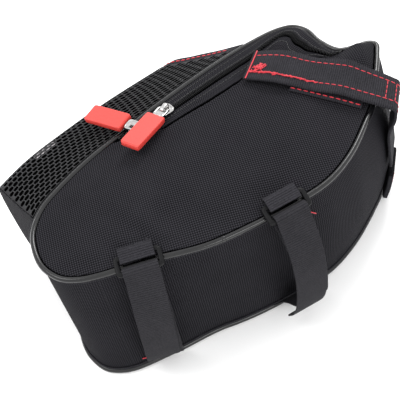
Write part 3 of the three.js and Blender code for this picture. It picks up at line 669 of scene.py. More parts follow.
def stitches(name, line, normals, pitch, stitch, radius, lift):
    """Thread along a line: one capsule for each stitch, with the pitch between their middles."""
    lengths = lengths_along(line)
    at = np.arange(pitch / 2, lengths[-1], pitch)
    near = 0.2

    def value(vectors, where):
        return np.stack([np.interp(where, lengths, vectors[:, k]) for k in range(3)], -1)

    normal = unit(value(np.broadcast_to(normals, line.shape), at))
    along = unit(value(line, at + near) - value(line, at - near))
    side = unit(np.cross(normal, along))
    shape, quads = capsule()
    basis = np.stack([along * stitch / 2, side * radius, normal * radius], 1)
    return copies(name, shape, quads, value(line, at) + normal * lift, basis)


# Materials


class Value:
    """A number in a material; arithmetic on it adds Math nodes."""

    def __init__(self, paint, socket):
        self.paint = paint
        self.socket = socket

    def math(self, operation, *others):
        return self.paint.node("ShaderNodeMath", [self, *others], operation=operation)

    def __add__(self, other):
        return self.math("ADD", other)

    def __sub__(self, other):
        return self.math("SUBTRACT", other)

    def __rsub__(self, other):
        return self.paint.node("ShaderNodeMath", [other, self], operation="SUBTRACT")

    def __mul__(self, other):
        return self.math("MULTIPLY", other)

    def __pow__(self, other):
        return self.math("POWER", other)

    def sine(self):
        return self.math("SINE")

    def floor(self):
        return self.math("FLOOR")

    def ridges(self):
        """One rounded ridge for each unit: the size of the sine."""
        return (self * math.pi).sine().math("ABSOLUTE")

    def more(self, other):
        return self.math("MAXIMUM", other)


class Paint:
    """A Principled material with one method for every other node."""

    def __init__(self, name, roughness, specular=0.5, sheen=0.0, metallic=0.0):
        self.material = bpy.data.materials.new(name)
        self.material.use_nodes = True
        self.tree = self.material.node_tree
        self.shader = self.tree.nodes["Principled BSDF"]
        self.shader.inputs["Roughness"].default_value = roughness
        self.shader.inputs["Specular IOR Level"].default_value = specular
        self.shader.inputs["Sheen Weight"].default_value = sheen
        self.shader.inputs["Sheen Roughness"].default_value = 0.5
        self.shader.inputs["Metallic"].default_value = metallic

    def node(self, kind, inputs, output=0, **settings):
        made = self.tree.nodes.new(kind)
        for key, value in settings.items():
            setattr(made, key, value)
        pairs = inputs.items() if isinstance(inputs, dict) else enumerate(inputs)
        for key, value in pairs:
            if isinstance(value, Value):
                self.tree.links.new(value.socket, made.inputs[key])
            else:
                made.inputs[key].default_value = value
        return Value(self, made.outputs[output])

    def place(self, scale):
        """The three Object coordinates, in units of the scale in millimetres."""
        at = self.node("ShaderNodeTexCoord", {}, output="Object")
        split = self.node("ShaderNodeSeparateXYZ", [at])
        return [Value(self, output) * (1000 / scale) for output in split.socket.node.outputs]

    def lengths(self, scale):
        """The UV map's lengths along and across, in units of the scale in millimetres."""
        at = self.node("ShaderNodeUVMap", {}, uv_map="UVMap")
        split = self.node("ShaderNodeSeparateXYZ", [at])
        return [Value(self, output) * (1000 / scale) for output in split.socket.node.outputs[:2]]

    def noise(self, scale, detail=2.0):
        """Fractal noise on Object coordinates, whose features are about the scale in millimetres."""
        at = self.node("ShaderNodeTexCoord", {}, output="Object")
        inputs = {"Vector": at, "Scale": 1000 / scale, "Detail": detail}
        return self.node("ShaderNodeTexNoise", inputs, output="Fac")

    def colour(self, mask, low, high):
        """A mix from the low colour to the high one."""
        inputs = {"Factor": mask, 6: (*low, 1.0), 7: (*high, 1.0)}
        mixed = self.node("ShaderNodeMix", inputs, output=2, data_type="RGBA")
        self.tree.links.new(mixed.socket, self.shader.inputs["Base Color"])

    def roughness(self, value):
        self.tree.links.new(value.socket, self.shader.inputs["Roughness"])

    def bump(self, height, distance, strength):
        """Relief whose height of one stands for the distance in millimetres."""
        inputs = {"Height": height, "Distance": distance * 0.001, "Strength": strength}
        normal = self.node("ShaderNodeBump", inputs, output="Normal")
        self.tree.links.new(normal.socket, self.shader.inputs["Normal"])


def times(colour, share):
    return tuple(c * share for c in colour)


def woven(u, v):
    """A plain weave of threads one unit apart: each is round across and dips under every other one."""
    over = ((v + u.floor()) * math.pi).sine() * 0.35
    under = ((u + v.floor()) * math.pi).sine() * 0.35
    warp = u.ridges() ** 0.7 * (over + 0.65)
    weft = v.ridges() ** 0.7 * (0.65 - under)
    return warp.more(weft)


def cloth_paint(name, colours, pitch, on_surface):
    """Coated woven nylon: a fine plain weave on the UV lengths or on the plan, slightly uneven in tone, with
    painted shade in the gaps between threads so that only the threads' crowns reach the lighter colour.
    """
    paint = Paint(name, roughness=0.8, specular=0.03)
    u, v = paint.lengths(pitch) if on_surface else paint.place(pitch)[:2]
    weave = woven(u, v)
    patches = paint.noise(26.0, 3.0) * 0.25
    # Painted shade: the weave's low places take the near-black gap colour and only the thread crowns the
    # lighter one; the patches are uneven tone.
    paint.colour((weave * 2.1 - 1.15).more(0.0) + patches, colours.cloth_gap_shade, colours.cloth_high)
    paint.roughness(weave * -0.12 + 0.8)
    paint.bump(weave, 0.3, 1.0)
    return paint.material


def webbing_paint(name, low, high, rib):
    """Ribbed webbing: fine ribs across its length over a faint herringbone, with painted shade in the
    grooves between ribs and fuzz that is uneven tone.
    """
    paint = Paint(name, roughness=0.8, specular=0.08)
    along, across = paint.lengths(rib)
    ribs = along.ridges() ** 0.6
    twill = (along + across * 1.6).ridges()
    relief = ribs * 0.7 + twill * 0.3
    fuzz = (paint.noise(0.8, 1.0) - 0.5) * 0.9
    # Painted shade: the grooves of the ribs and herringbone are darker and their crowns lighter; the noise
    # and fuzz are uneven tone.
    paint.colour(relief * 0.7 + paint.noise(9.0) * 0.3 + fuzz, low, high)
    paint.bump(relief + fuzz * 0.5, 0.3, 1.0)
    return paint.material


def moulded_paint(name, low, high, scales, gloss, relief, detail=2.0, **settings):
    """A smooth surface: noise at three scales in millimetres varies its tone, roughness and relief."""
    paint = Paint(name, gloss[1], **settings)
    tone, shine, grain = (paint.noise(scale, detail) for scale in scales)
    paint.colour(tone, low, high)
    paint.roughness(shine * gloss[0] + gloss[1])
    paint.bump(grain, *relief)
    return paint.material


def thread_paint(name, low, high):
    """Twisted polyester thread: fine slanting turns along each stitch, with painted shade in the grooves
    between turns.
    """
    paint = Paint(name, roughness=0.5, specular=0.4, sheen=0.2)
    x, y, z = paint.place(0.35)
    turns = (x + y + z).ridges()
    # Painted shade: the grooves between the turns are darker than their crowns.
    paint.colour(turns, low, high)
    paint.bump(turns, 0.05, 0.7)
    return paint.material


def net_paint(name, low, high):
    """Knitted net strands: fine loops along each strand, with painted shade between the loops and uneven
    tone from noise.
    """
    paint = Paint(name, roughness=0.7, specular=0.15, sheen=0.03)
    x, y, z = paint.place(0.8)
    loops = (x + z).ridges() * (y - z).ridges()
    # Painted shade: the hollows between the loops are darker than their crowns; the noise is uneven tone.
    paint.colour(loops * 0.8 + paint.noise(8.0) * 0.3, low, high)
    paint.bump(loops, 0.12, 0.8)
    return paint.material


def film_paint(name):
    """Pale reflective film with a faint honeycomb."""
    paint = Paint(name, roughness=0.5, specular=0.5)
    x, y, z = paint.place(2.0)
    cells = x.ridges() * (y + z).ridges()
    paint.colour(cells, (0.2, 0.19, 0.2), (0.42, 0.4, 0.41))
    paint.bump(cells, 0.06, 0.6)
    return paint.material


def pocket_shade_paint(name):
    """Painted shade: a dull, near-black sheet that shows only through the net and stands in for the shadow
    inside the pocket.
    """
    paint = Paint(name, roughness=1.0, specular=0.0)
    paint.colour(paint.noise(9.0), (0.0005,) * 3, (0.0015,) * 3)
    return paint.material


def floor_paint(name, colour):
    paint = Paint(name, roughness=0.9, specular=0.1)
    paint.colour(paint.noise(60.0), times(colour, 0.99), colour)
    return paint.material


# Settings


def a_colour(label, about, default):
    return bpy.props.FloatVectorProperty(
        name=label, description="Colour of " + about, default=default, subtype="COLOR", min=0, max=1
    )


def a_length(label, about, default, least):
    return bpy.props.FloatProperty(
        name=label, description=about + ", in millimetres", default=default, min=least
    )


def a_count(label, about, default):
    return bpy.props.IntProperty(name=label, description=about, default=default, min=8)


class BagColours(bpy.types.PropertyGroup):
    # Painted shade: the colour between the threads is shade in the weave's gaps, and the thread colour is
    # their lit crowns; the dark webbing uses the same pair.
    cloth_gap_shade: a_colour("Cloth, between threads", "the cloth between its threads", (0.0015, 0.0015, 0.002))
    cloth_high: a_colour("Cloth, threads", "the cloth's threads", (0.033, 0.032, 0.0375))
    # Painted shade: the webbing's colour between ribs is shade in the grooves, and the rib colour is their
    # lit crowns.
    webbing_groove_shade: a_colour("Webbing, between ribs", "the webbing between its ribs", (0.005, 0.005, 0.0065))
    webbing_high: a_colour("Webbing, ribs", "the webbing's ribs", (0.031, 0.03, 0.034))
    net: a_colour("Net", "the net's strands", (0.04, 0.04, 0.043))
    thread: a_colour("Thread", "the bright thread", (0.66, 0.02, 0.04))
    grip: a_colour("Grips", "the zip pulls' rubber grips", (0.64, 0.048, 0.038))
    floor: a_colour("Floor", "the floor", (0.98, 0.98, 0.98))


class BagSizes(bpy.types.PropertyGroup):
    weave: a_length("Weave", "Distance between the cloth's threads", 1.3, 0.2)
    rib: a_length("Rib", "Distance between the webbing's ribs", 1.3, 0.2)
    wrinkle: a_length("Wrinkles", "Depth of the panel's soft creases", 0.9, 0)
    net_columns: a_count("Net columns", "Holes of the net along the pocket", 33)
    net_rows: a_count("Net rows", "Holes of the net round the pocket", 36)
    net_hole: bpy.props.FloatProperty(
        name="Net hole", description="Half of a hole's width as a share of its cell", default=0.455, min=0.1,
        max=0.47,
    )
    stitch: a_length("Stitch", "Length of one stitch", 3.0, 0.5)
    thread: a_length("Thread", "Radius of the thread", 0.42, 0.05)
    light: bpy.props.FloatProperty(
        name="Light", description="Strength of the studio light", default=1.0, min=0
    )


def sizes():
    return bpy.context.scene.saddle_bag_sizes


def colours():
    return bpy.context.scene.saddle_bag_colours


def finish(name):
    """The named material, made when it is first asked for."""
    hue, size = colours(), sizes()
    makers = {
        "panel_cloth": lambda: cloth_paint(name, hue, size.weave, False),
        "wall_cloth": lambda: cloth_paint(name, hue, size.weave, True),
        "ribbed_webbing": lambda: webbing_paint(name, hue.webbing_groove_shade, hue.webbing_high, size.rib),
        "dark_webbing": lambda: webbing_paint(name, hue.cloth_gap_shade, hue.cloth_high, size.rib),
        "piping_vinyl": lambda: moulded_paint(
            name, DEEP_BLACK, times(DEEP_BLACK, 1.5), (7.0, 7.0, 2.4), (0.14, 0.16), (0.05, 0.5),
            specular=0.45,
        ),
        "moulded_plastic": lambda: moulded_paint(
            name, DEEP_BLACK, times(DEEP_BLACK, 1.6), (0.6,) * 3, (0.15, 0.36), (0.04, 0.6), specular=0.15
        ),
        "polished_metal": lambda: moulded_paint(
            name, METAL_LOW, METAL_HIGH, (1.4,) * 3, (0.22, 0.06), (0.03, 0.4), 4.0, metallic=1.0
        ),
        "grip_rubber": lambda: moulded_paint(
            name, times(hue.grip, 0.9), hue.grip, (14.0, 1.1, 1.1), (0.12, 0.36), (0.03, 0.5), specular=0.45
        ),
        "red_thread": lambda: thread_paint(name, times(hue.thread, 0.55), hue.thread),
        "dark_thread": lambda: thread_paint(name, (0.006,) * 3, (0.03,) * 3),
        "net_strand": lambda: net_paint(name, times(hue.net, 0.2), hue.net),
        "pocket_shade_black": lambda: pocket_shade_paint(name),
        "reflective_film": lambda: film_paint(name),
    }
    return bpy.data.materials.get(name) or makers[name]()


def dress(obj, look, body="bag", replaces=()):
    """Gives a piece its finish and its CAD body, and hides the nodes that it stands for."""
    obj.data.materials.clear()
    obj.data.materials.append(finish(look))
    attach(obj, body)
    if replaces:
        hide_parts(*replaces)


def lay_tapered(grid):
    """Measures a tapered sheet's width at each row, in metres, and does nothing more with them."""
    widths = np.linalg.norm(grid[:, -1] - grid[:, 0], axis=1) * 0.001


def sew(seam, line, normals, suffix="", look="red_thread"):
    """One row of stitches along a line, with the sizes that SEAMS gives for this seam."""
    gap, stitch, thickness, lift = SEAMS[seam]
    stitch = stitch or sizes().stitch
    radius = sizes().thread * thickness
    dress(stitches(f"{seam}{suffix}", line, normals, gap + stitch, stitch, radius, lift), look)


# Pieces


def panel_wrinkles(flat):
    """Soft creases: sine waves under Gaussian windows."""
    total = 0
    for x, y, spread, turn, pitch, depth in CREASES:
        dx, dy = flat[..., 0] - x, flat[..., 1] - y
        turn = math.radians(turn)
        wave = np.sin((dx * math.cos(turn) + dy * math.sin(turn)) * 2 * math.pi / pitch)
        total = total + depth * wave * bell(np.hypot(dx, dy), 0, spread)
    return total * sizes().wrinkle


def fan(rim, rings):
    """Rings of points from a rim towards the centre, at shares of the way."""
    return CENTRE + (rim[:, None] - CENTRE) * rings[None, :, None]


class OBJECT_OT_saddle_bag_panels(bpy.types.Operator):
    """Builds the top panel, the wall between the pipings and the back panel"""

    bl_idname = "object.saddle_bag_panels"
    bl_label = "Panels"

    def top_panel(self):
        share = np.arange(PANEL_STEPS) / PANEL_STEPS
        depth = zip_depth(share)
        beside_zip = depth > 0
        rim = top(share, EDGE_INSET + depth + PANEL_CLEAR * beside_zip)[..., :2]
        flat = fan(rim, PANEL_RINGS)
        inwards = np.linalg.norm(rim - CENTRE, axis=-1)[:, None] * (1 - PANEL_RINGS)
        turned = TURNED_EDGE * bell(inwards, TURNED_EDGE_IN, TURNED_EDGE_SPREAD) * beside_zip[:, None]
        fade = smoothstep(inwards, TURNED_EDGE_IN, WRINKLES_FULL)
        height = top_height(flat) + turned + panel_wrinkles(flat) * fade
        panel = cloth("top_panel_cloth", raised(flat, height), CLOTH, ring=True, pole=True)
        dress(panel, "panel_cloth", replaces=["top_panel"])

    def side_wall(self):
        share = np.arange(WALL_STEPS) / WALL_STEPS
        margin = EDGE_INSET / HEIGHT
        rise = margin + (1 - 2 * margin) * np.linspace(0, 1, WALL_ROWS)
        waves = WALL_WAVE * np.sin(share * 2 * math.pi * WALL_WAVES)[:, None]
        slack = waves * np.sin(rise * math.pi) ** 2 * sizes().wrinkle
        around = wall(share[:, None], rise[None], slack - GAP)
        gusset = cloth("wall_cloth", around, CLOTH, ring=True)
        dress(gusset, "wall_cloth", replaces=["gusset"])

    def back_panel(self):
        edge = edges(np.arange(PANEL_STEPS) / PANEL_STEPS)
        rim = edge.point + edge.slip - edge.out[:, :2] * EDGE_INSET
        flat = fan(rim, BACK_RINGS)
        grid = raised(flat, np.zeros(flat.shape[:2]))
        back = cloth("back_panel_cloth", grid[::-1], CLOTH, ring=True, pole=True)
        dress(back, "panel_cloth", replaces=["back_panel"])

    def execute(self, context):
        self.top_panel()
        self.side_wall()
        self.back_panel()
        return {"FINISHED"}


class OBJECT_OT_saddle_bag_piping(bpy.types.Operator):
    """Builds the two glossy pipings with their flanges and the joint in the top one"""

    bl_idname = "object.saddle_bag_piping"
    bl_label = "Piping"

    def execute(self, context):
        share = np.arange(PIPING_STEPS) / PIPING_STEPS
        out = edges(share).out
        section = rounded_section(2 * PIPING_R, 2 * PIPING_R, 14, 2.0)
        lip_section = rounded_section(FLANGE, FLANGE_TALL, 8, 3.0)
        for end, rise, inwards in (("top", 1.0, -1), ("back", 0.0, 1)):
            tube = sweep(f"piping_{end}_gloss", wall(share, rise), out, UP, section, closed=True)
            dress(tube, "piping_vinyl", replaces=["piping_" + end])
            beside = wall(share, rise + inwards * FLANGE_AWAY / HEIGHT, FLANGE_PROUD)
            lip = sweep("flange_" + end, beside, out, UP, lip_section, closed=True)
            dress(lip, "dark_webbing")
        for number, (share_range, rise_range) in enumerate(WALL_MARKS):
            share = np.linspace(*share_range, 12)
            mark = wall(share, np.linspace(*rise_range, 12), FLANGE_PROUD)
            sew("wall_mark", mark, edges(share).out, f"_{number}")
        steps = np.linspace(-1, 1, 9)
        share = JOINT_AT + steps * JOINT_HALF
        sleeve = PIPING_R + JOINT_PROUD - 0.1 * np.abs(steps) ** 3
        ring = rounded_section(2, 2, 14, 2.0)[None] * sleeve[:, None, None]
        joint = sweep("piping_joint", wall(share, 1.0), edges(share).out, UP, ring)
        dress(joint, "piping_vinyl")
        return {"FINISHED"}


def tape_grid(share, near, far, ridges):
    """A zip tape between two depths, with raised ridges along it: a Gaussian at each given share."""
    across = np.linspace(0, 1, TAPE_COLUMNS)
    inset = EDGE_INSET + near[:, None] + (far - near)[:, None] * across[None]
    lift = sum(TAPE_RIDGE * bell(across, ridge, TAPE_RIDGE_SPREAD) for ridge in ridges)
    return top(share[:, None], inset, lift[None])


class OBJECT_OT_saddle_bag_zip(bpy.types.Operator):
    """Builds the zip's two tapes with their seams, and its coil"""

    bl_idname = "object.saddle_bag_zip"
    bl_label = "Zip"

    def tapes(self, share):
        depth, width = zip_depth(share), coil_width(share)
        outer = tape_grid(share, 0 * depth, (depth - width) / 2 - GAP, OUTER_RIDGES)
        inner = tape_grid(share, (depth + width) / 2 + GAP, depth, INNER_RIDGES)
        for name, grid in (("zip_tape_outer", outer), ("zip_tape_inner", inner)):
            tape = cloth(name + "_cloth", grid, TAPE)
            dress(tape, "wall_cloth", replaces=[name])
            lay_tapered(grid)
        up = coil_line(share).up
        for name, grid, column in (("outer", outer, 5), ("middle", outer, 12), ("inner", inner, 5)):
            sew("zip_seam", grid[:, column], up, "_" + name, "dark_thread")

    def coil(self, share):
        turns = lengths_along(coil_line(share).centre)[-1] / COIL_PITCH
        steps = np.linspace(0, 1, int(turns * COIL_TURN_STEPS))
        at = share[0] + (share[-1] - share[0]) * steps
        core = coil_line(at)
        half = coil_width(at)[:, None] / 2
        section = rounded_section(COIL_WIRE, COIL_WIRE, 5, 2.0)
        for name, sign, start, replaced in (("outer", 1, 0.25, ["zip_coil"]), ("inner", -1, 0.75, ())):
            phase = (steps * turns + start)[:, None] * 2 * math.pi
            sideways = sign * half * COIL_REACH * (1 + np.cos(phase))
            centres = core.centre + core.side * sideways + core.up * COIL_TURN * np.sin(phase)
            wire = carry("zip_coil_" + name, centres, core.up, section)
            dress(wire, "moulded_plastic", replaces=replaced)

    def execute(self, context):
        every = np.linspace(ZIP_FROM, ZIP_TO, ZIP_SEARCH_STEPS)
        wide = every[zip_depth(every) > ZIP_LEAST_DEPTH]
        share = np.linspace(wide[0], wide[-1], ZIP_STEPS)
        self.tapes(share)
        self.coil(share)
        return {"FINISHED"}


def pull_frame(name):
    """A pull's seat and ways: the slider's own frame, and the flap's pivot and frame."""
    share, turn, tilt = PULLS[name]
    line = coil_line(np.array([share]))
    centre, along, side, up = line.centre[0], line.along[0], line.side[0], line.up[0]
    seat = centre + up * (COIL_RISE / 2 + GAP)
    pivot = seat + up * (SLIDER_PLATE + PIVOT_CLEAR + PIVOT_R)
    turn, tilt = math.radians(turn), math.radians(tilt)
    forward = np.array([math.cos(turn) * math.cos(tilt), math.sin(turn) * math.cos(tilt), math.sin(tilt)])
    across = np.array([-math.sin(turn), math.cos(turn), 0.0])
    heading = turn - math.atan2(along[1], along[0])
    bridge = along * math.cos(heading) - side * math.sin(heading)
    return SimpleNamespace(
        seat=seat,
        slider=np.stack([along, -side, up]),
        pivot=pivot,
        flap=np.stack([forward, across, np.cross(forward, across)]),
        bridge=np.stack([bridge, np.cross(up, bridge), up]),
    )


def placed(points, origin, basis):
    return origin + np.asarray(points) @ basis


def plate_grid(half_length, half_width, power, taper, levels):
    """A rounded plate: a superellipse outline that tapers along it, drawn in at each level's share."""
    x, y = superellipse(-2 * math.pi * np.arange(48) / 48, half_length, half_width, power)
    y = y * (1 - taper * (x / half_length + 1) / 2)
    return np.stack([np.stack([x * k, y * k, np.full_like(x, z)], -1) for k, z in levels], 1)


def closed_plate(name, grid):
    """The plate's side and rounded edges as a grid, with a flat face on its first and last ring."""
    rows, columns = grid.shape[:2]
    quads, _, _ = grid_faces(rows, columns, True)
    points = grid.reshape(-1, 3)
    first = list(range(0, rows * columns, columns))
    last = list(range(columns - 1, rows * columns, columns))
    if volume(points - points.mean(0), quads) < 0:
        quads = quads[:, ::-1]
        first.reverse()
    else:
        last.reverse()
    plate = new_mesh(name, points, quads.tolist() + [first, last])
    plate.data.polygons.foreach_set("use_smooth", np.arange(len(quads) + 2) < len(quads))
    return plate


def ring_path(x0, x1, half, power, count):
    """The closed centre line of a rounded rectangle: a superellipse from x0 to x1."""
    x, y = superellipse(2 * math.pi * np.arange(count) / count, (x1 - x0) / 2, half, power)
    return np.stack([(x0 + x1) / 2 + x, y, 0 * x], -1)


class OBJECT_OT_saddle_bag_pulls(bpy.types.Operator):
    """Builds the two chromed sliders and their pulls with coral rubber grips"""

    bl_idname = "object.saddle_bag_pulls"
    bl_label = "Zip pulls"

    def slider(self, name, at):
        levels = [(0.93, 0.0), (1.0, 0.15), (1.0, 0.7), (0.9, 1.1), (0.72, SLIDER_PLATE)]
        cap = plate_grid(SLIDER_LENGTH / 2, SLIDER_WIDTH / 2, 3.2, 0.3, levels)
        plate = closed_plate("slider_plate_" + name, placed(cap, at.seat, at.slider))
        dress(plate, "polished_metal", replaces=["slider_" + name])
        foot = 0.5 * SLIDER_PLATE
        tall = SLIDER_PLATE + 2 * PIVOT_CLEAR + 2 * PIVOT_R + BRIDGE_WALL / 2 - foot
        reach = (BRIDGE_LENGTH - BRIDGE_WALL) / 2
        x, z = superellipse(np.linspace(math.pi, 0, 30), reach, tall, BRIDGE_POWER)
        line = placed(np.stack([x, 0 * x, foot + z], -1), at.seat, at.bridge)
        section = rounded_section(BRIDGE_WIDTH, BRIDGE_WALL, 12, 3.0)
        dress(carry("slider_bridge_" + name, line, at.bridge[1], section), "polished_metal")

    def pull(self, name, at):
        body = name + "_pull"
        half = PULL_HEAD_WIDTH / 2 - PIVOT_R
        path = placed(ring_path(0.0, PULL_HEAD - RING_SHORT, half, 5.0, RING_STEPS), at.pivot, at.flap)
        section = rounded_section(RING_WIRE, RING_TALL, 10, 2.6)
        ring = carry("pull_ring_" + name, path, at.flap[2], section, closed=True)
        dress(ring, "polished_metal", body=body, replaces=["pull_" + name])
        levels = [(0.94, -0.5), (1, -0.3), (1, 0.3), (0.94, 0.5)]
        plate = plate_grid(NECK_HALF, half - NECK_CLEAR, 4.0, 0.0, levels) + (PULL_HEAD - NECK_BACK, 0, 0)
        neck = closed_plate("pull_neck_" + name, placed(plate, at.pivot, at.flap))
        dress(neck, "polished_metal", body=body)

    def grip(self, name, at):
        rounding = [(0.955, -1), (0.985, -0.95), (1, -0.8), (1, 0), (1, 0.8), (0.985, 0.95), (0.955, 1)]
        levels = [(share, level * GRIP_THICK / 2) for share, level in rounding]
        block = plate_grid(GRIP_LENGTH / 2, GRIP_WIDTH / 2, 16.0, 0.0, levels)
        block = block + (PULL_HEAD + GAP + GRIP_LENGTH / 2, 0, 0)
        grip = closed_plate("grip_rubber_" + name, placed(block, at.pivot, at.flap))
        dress(grip, "grip_rubber", body=name + "_pull", replaces=["grip_" + name])

    def execute(self, context):
        for name in PULLS:
            at = pull_frame(name)
            self.slider(name, at)
            self.pull(name, at)
            self.grip(name, at)
        return {"FINISHED"}


def beside_line(line, distance):
    """A line of out and height, moved square to itself."""
    step = unit(np.vstack([line[1] - line[0], line[2:] - line[:-2], line[-1] - line[-2]]))
    return line + np.stack([step[:, 1], -step[:, 0]], -1) * distance


def round_bar(degrees, out, height, thickness):
    """Out and height of a band's middle where it turns round one of a loop's bars."""
    radius = math.hypot(LOOP_BAR, LOOP_THICK) / 2 + GAP + thickness / 2
    turn = np.radians(degrees)
    return np.stack([out + radius * np.cos(turn), height + radius * np.sin(turn)], -1)


def strap_path(share, arch):
    """A closed strap's middle line: up outside, over the loop's outer bar and down inside to its root."""
    edge = edges(share)
    outer = np.array(STRAP_LINE) * (arch, HEIGHT) + (0, BACK_LEVEL)
    fold = round_bar([0, 45, 90, 135, 180], LOOP_OUT, TOP_LEVEL + LOOP_OUT_RISE, STRAP)
    under = [[fold[-1, 0] + GAP / 2, TOP_LEVEL - LOOP_BAR / 2]]
    inner = beside_line(outer, STRAP + STRAP_PLY_GAP)[1:-2]
    foot = float((wall(share, 0.0)[:2] - edge.point) @ edge.out[:2]) + 2 * STRAP
    root_height = BACK_LEVEL + PIPING_R + GAP + STRAP
    root = [
        [foot + (arch - foot) * 0.35, BACK_LEVEL + 0.16 * HEIGHT],
        [foot + STRAP / 2, root_height + STRAP],
        [foot, root_height],
    ]
    first = np.vstack([outer[::-1], fold])
    second = np.vstack([under, inner, root])
    line = np.vstack([first, second])
    low = np.clip((TOP_LEVEL - line[:, 1]) / HEIGHT, 0, 1)
    lean = low * np.repeat([STRAP_LEAN, ROOT_LEAN], [len(first), len(second)])
    return plane_points(edge, line[:, 0], line[:, 1], lean)


class OBJECT_OT_saddle_bag_straps(bpy.types.Operator):
    """Builds the two folded webbing straps, their plastic loops and the ribbed tabs that hold them"""

    bl_idname = "object.saddle_bag_straps"
    bl_label = "Straps"

    def strap(self, name, share, arch):
        line = smooth_line(strap_path(share, arch), STRAP_STEPS)
        section = rounded_section(STRAP_WIDTH, STRAP, 28, 9.0)
        band = carry("strap_webbing_" + name, line, edges(share).along, section)
        dress(band, "ribbed_webbing", replaces=["strap_" + name])

    def loop(self, name, share):
        edge = edges(share)
        outer = plane_points(edge, LOOP_OUT, TOP_LEVEL + LOOP_OUT_RISE)
        inner = plane_points(edge, -LOOP_IN, TOP_LEVEL + LOOP_IN_RISE)
        way = unit(inner - outer)
        half = STRAP_WIDTH / 2 + LOOP_SIDE_CLEAR + LOOP_BAR / 2
        path = ring_path(0.0, np.linalg.norm(inner - outer) * LOOP_SHORT, half, 11.0, LOOP_STEPS)
        basis = np.stack([way, edge.along, np.cross(way, edge.along)])
        section = rounded_section(LOOP_THICK, LOOP_BAR, 14, 3.4)
        bars = carry("loop_plastic_" + name, placed(path, outer, basis), basis[2], section, closed=True)
        dress(bars, "moulded_plastic", replaces=["loop_" + name])

    def tab(self, name, share):
        edge = edges(share)
        turned = round_bar([60, 90, 135, 180, 225, 270], -LOOP_IN, TOP_LEVEL + LOOP_IN_RISE, TAB)
        section_line = np.vstack([[TAB_REACH, TOP_LEVEL + LOOP_OUT_RISE + TAB_RISE], turned])
        seam = top(np.array([share]), np.array([EDGE_INSET + TAB]), TAB)
        line = smooth_line(np.vstack([plane_points(edge, *section_line.T), seam]), TAB_STEPS)
        ribs = 1 + TAB_RIB * np.abs(np.sin(np.linspace(0, TAB_RIBS * math.pi, len(line))))
        thicker = np.stack([np.ones_like(ribs), ribs], -1)[:, None]
        section = rounded_section(STRAP_WIDTH - TAB_NARROWER, TAB, 24, 9.0) * thicker
        band = carry("tab_webbing_" + name, line, edge.along, section)
        dress(band, "dark_webbing", replaces=["tab_" + name])

    def execute(self, context):
        for name, (share, arch) in STRAPS.items():
            self.strap(name, share, arch)
            self.loop(name, share)
            self.tab(name, share)
        return {"FINISHED"}


def post_rows(inwards, lift, width, shift=0.0):
    """Rows of points across a band on the top panel, at lengths inwards from the piping on the seat-post
    strap's line, lifted above the panel."""
    edge = edges(POST_AT)
    c, s = math.cos(POST_TURN), math.sin(POST_TURN)
    way = -edge.out @ np.array([[c, s, 0], [-s, c, 0], [0, 0, 1]])
    side = np.cross(way, UP)
    sideways = shift - POST_SPREAD * width
    flat = np.append(edge.point, 0) + way * inwards[:, None, None] + side * sideways[None, :, None]
    flat[..., 2] = top_height(flat[..., :2]) + lift[:, None]
    return flat


def post_strap_grid():
    """The seat-post strap: up the wall from its root, slack over the piping and inwards over the panel."""
    edge = edges(POST_AT)
    beside_wall = wall(POST_AT, np.array([0.42, 0.62]), 2 * GAP + POST)
    out = WALL_SWELL * edge.swell + POST_SLACK * np.array([0.5, 1.0, 0.95, 0.45])
    height = TOP_LEVEL + np.array([-0.22 * HEIGHT, -0.08 * HEIGHT, 0.4 * POST_RISE, POST_RISE])
    middle = np.vstack([beside_wall, plane_points(edge, out, height)])
    over = middle[:, None] - edge.along * (POST_SPREAD * POST_WIDTH)[None, :, None]
    share = np.array([0.1, 0.22, 0.34, 0.42, 0.5, 0.58, 0.66, 0.75, 0.85, 1.0])
    slack = POST_RISE * 0.7 * np.maximum(0, 1 - share / 0.4)
    wave = POST_WAVE * np.sin(share * 2 * math.pi) ** 2
    lift = ON_PANEL + STRIP + 3 * GAP + POST + slack + wave
    rows = np.concatenate([over, post_rows(share * POST_REACH, lift, POST_WIDTH)])
    return np.stack([smooth_line(rows[:, k], POST_ROWS) for k in range(len(POST_SPREAD))], 1)


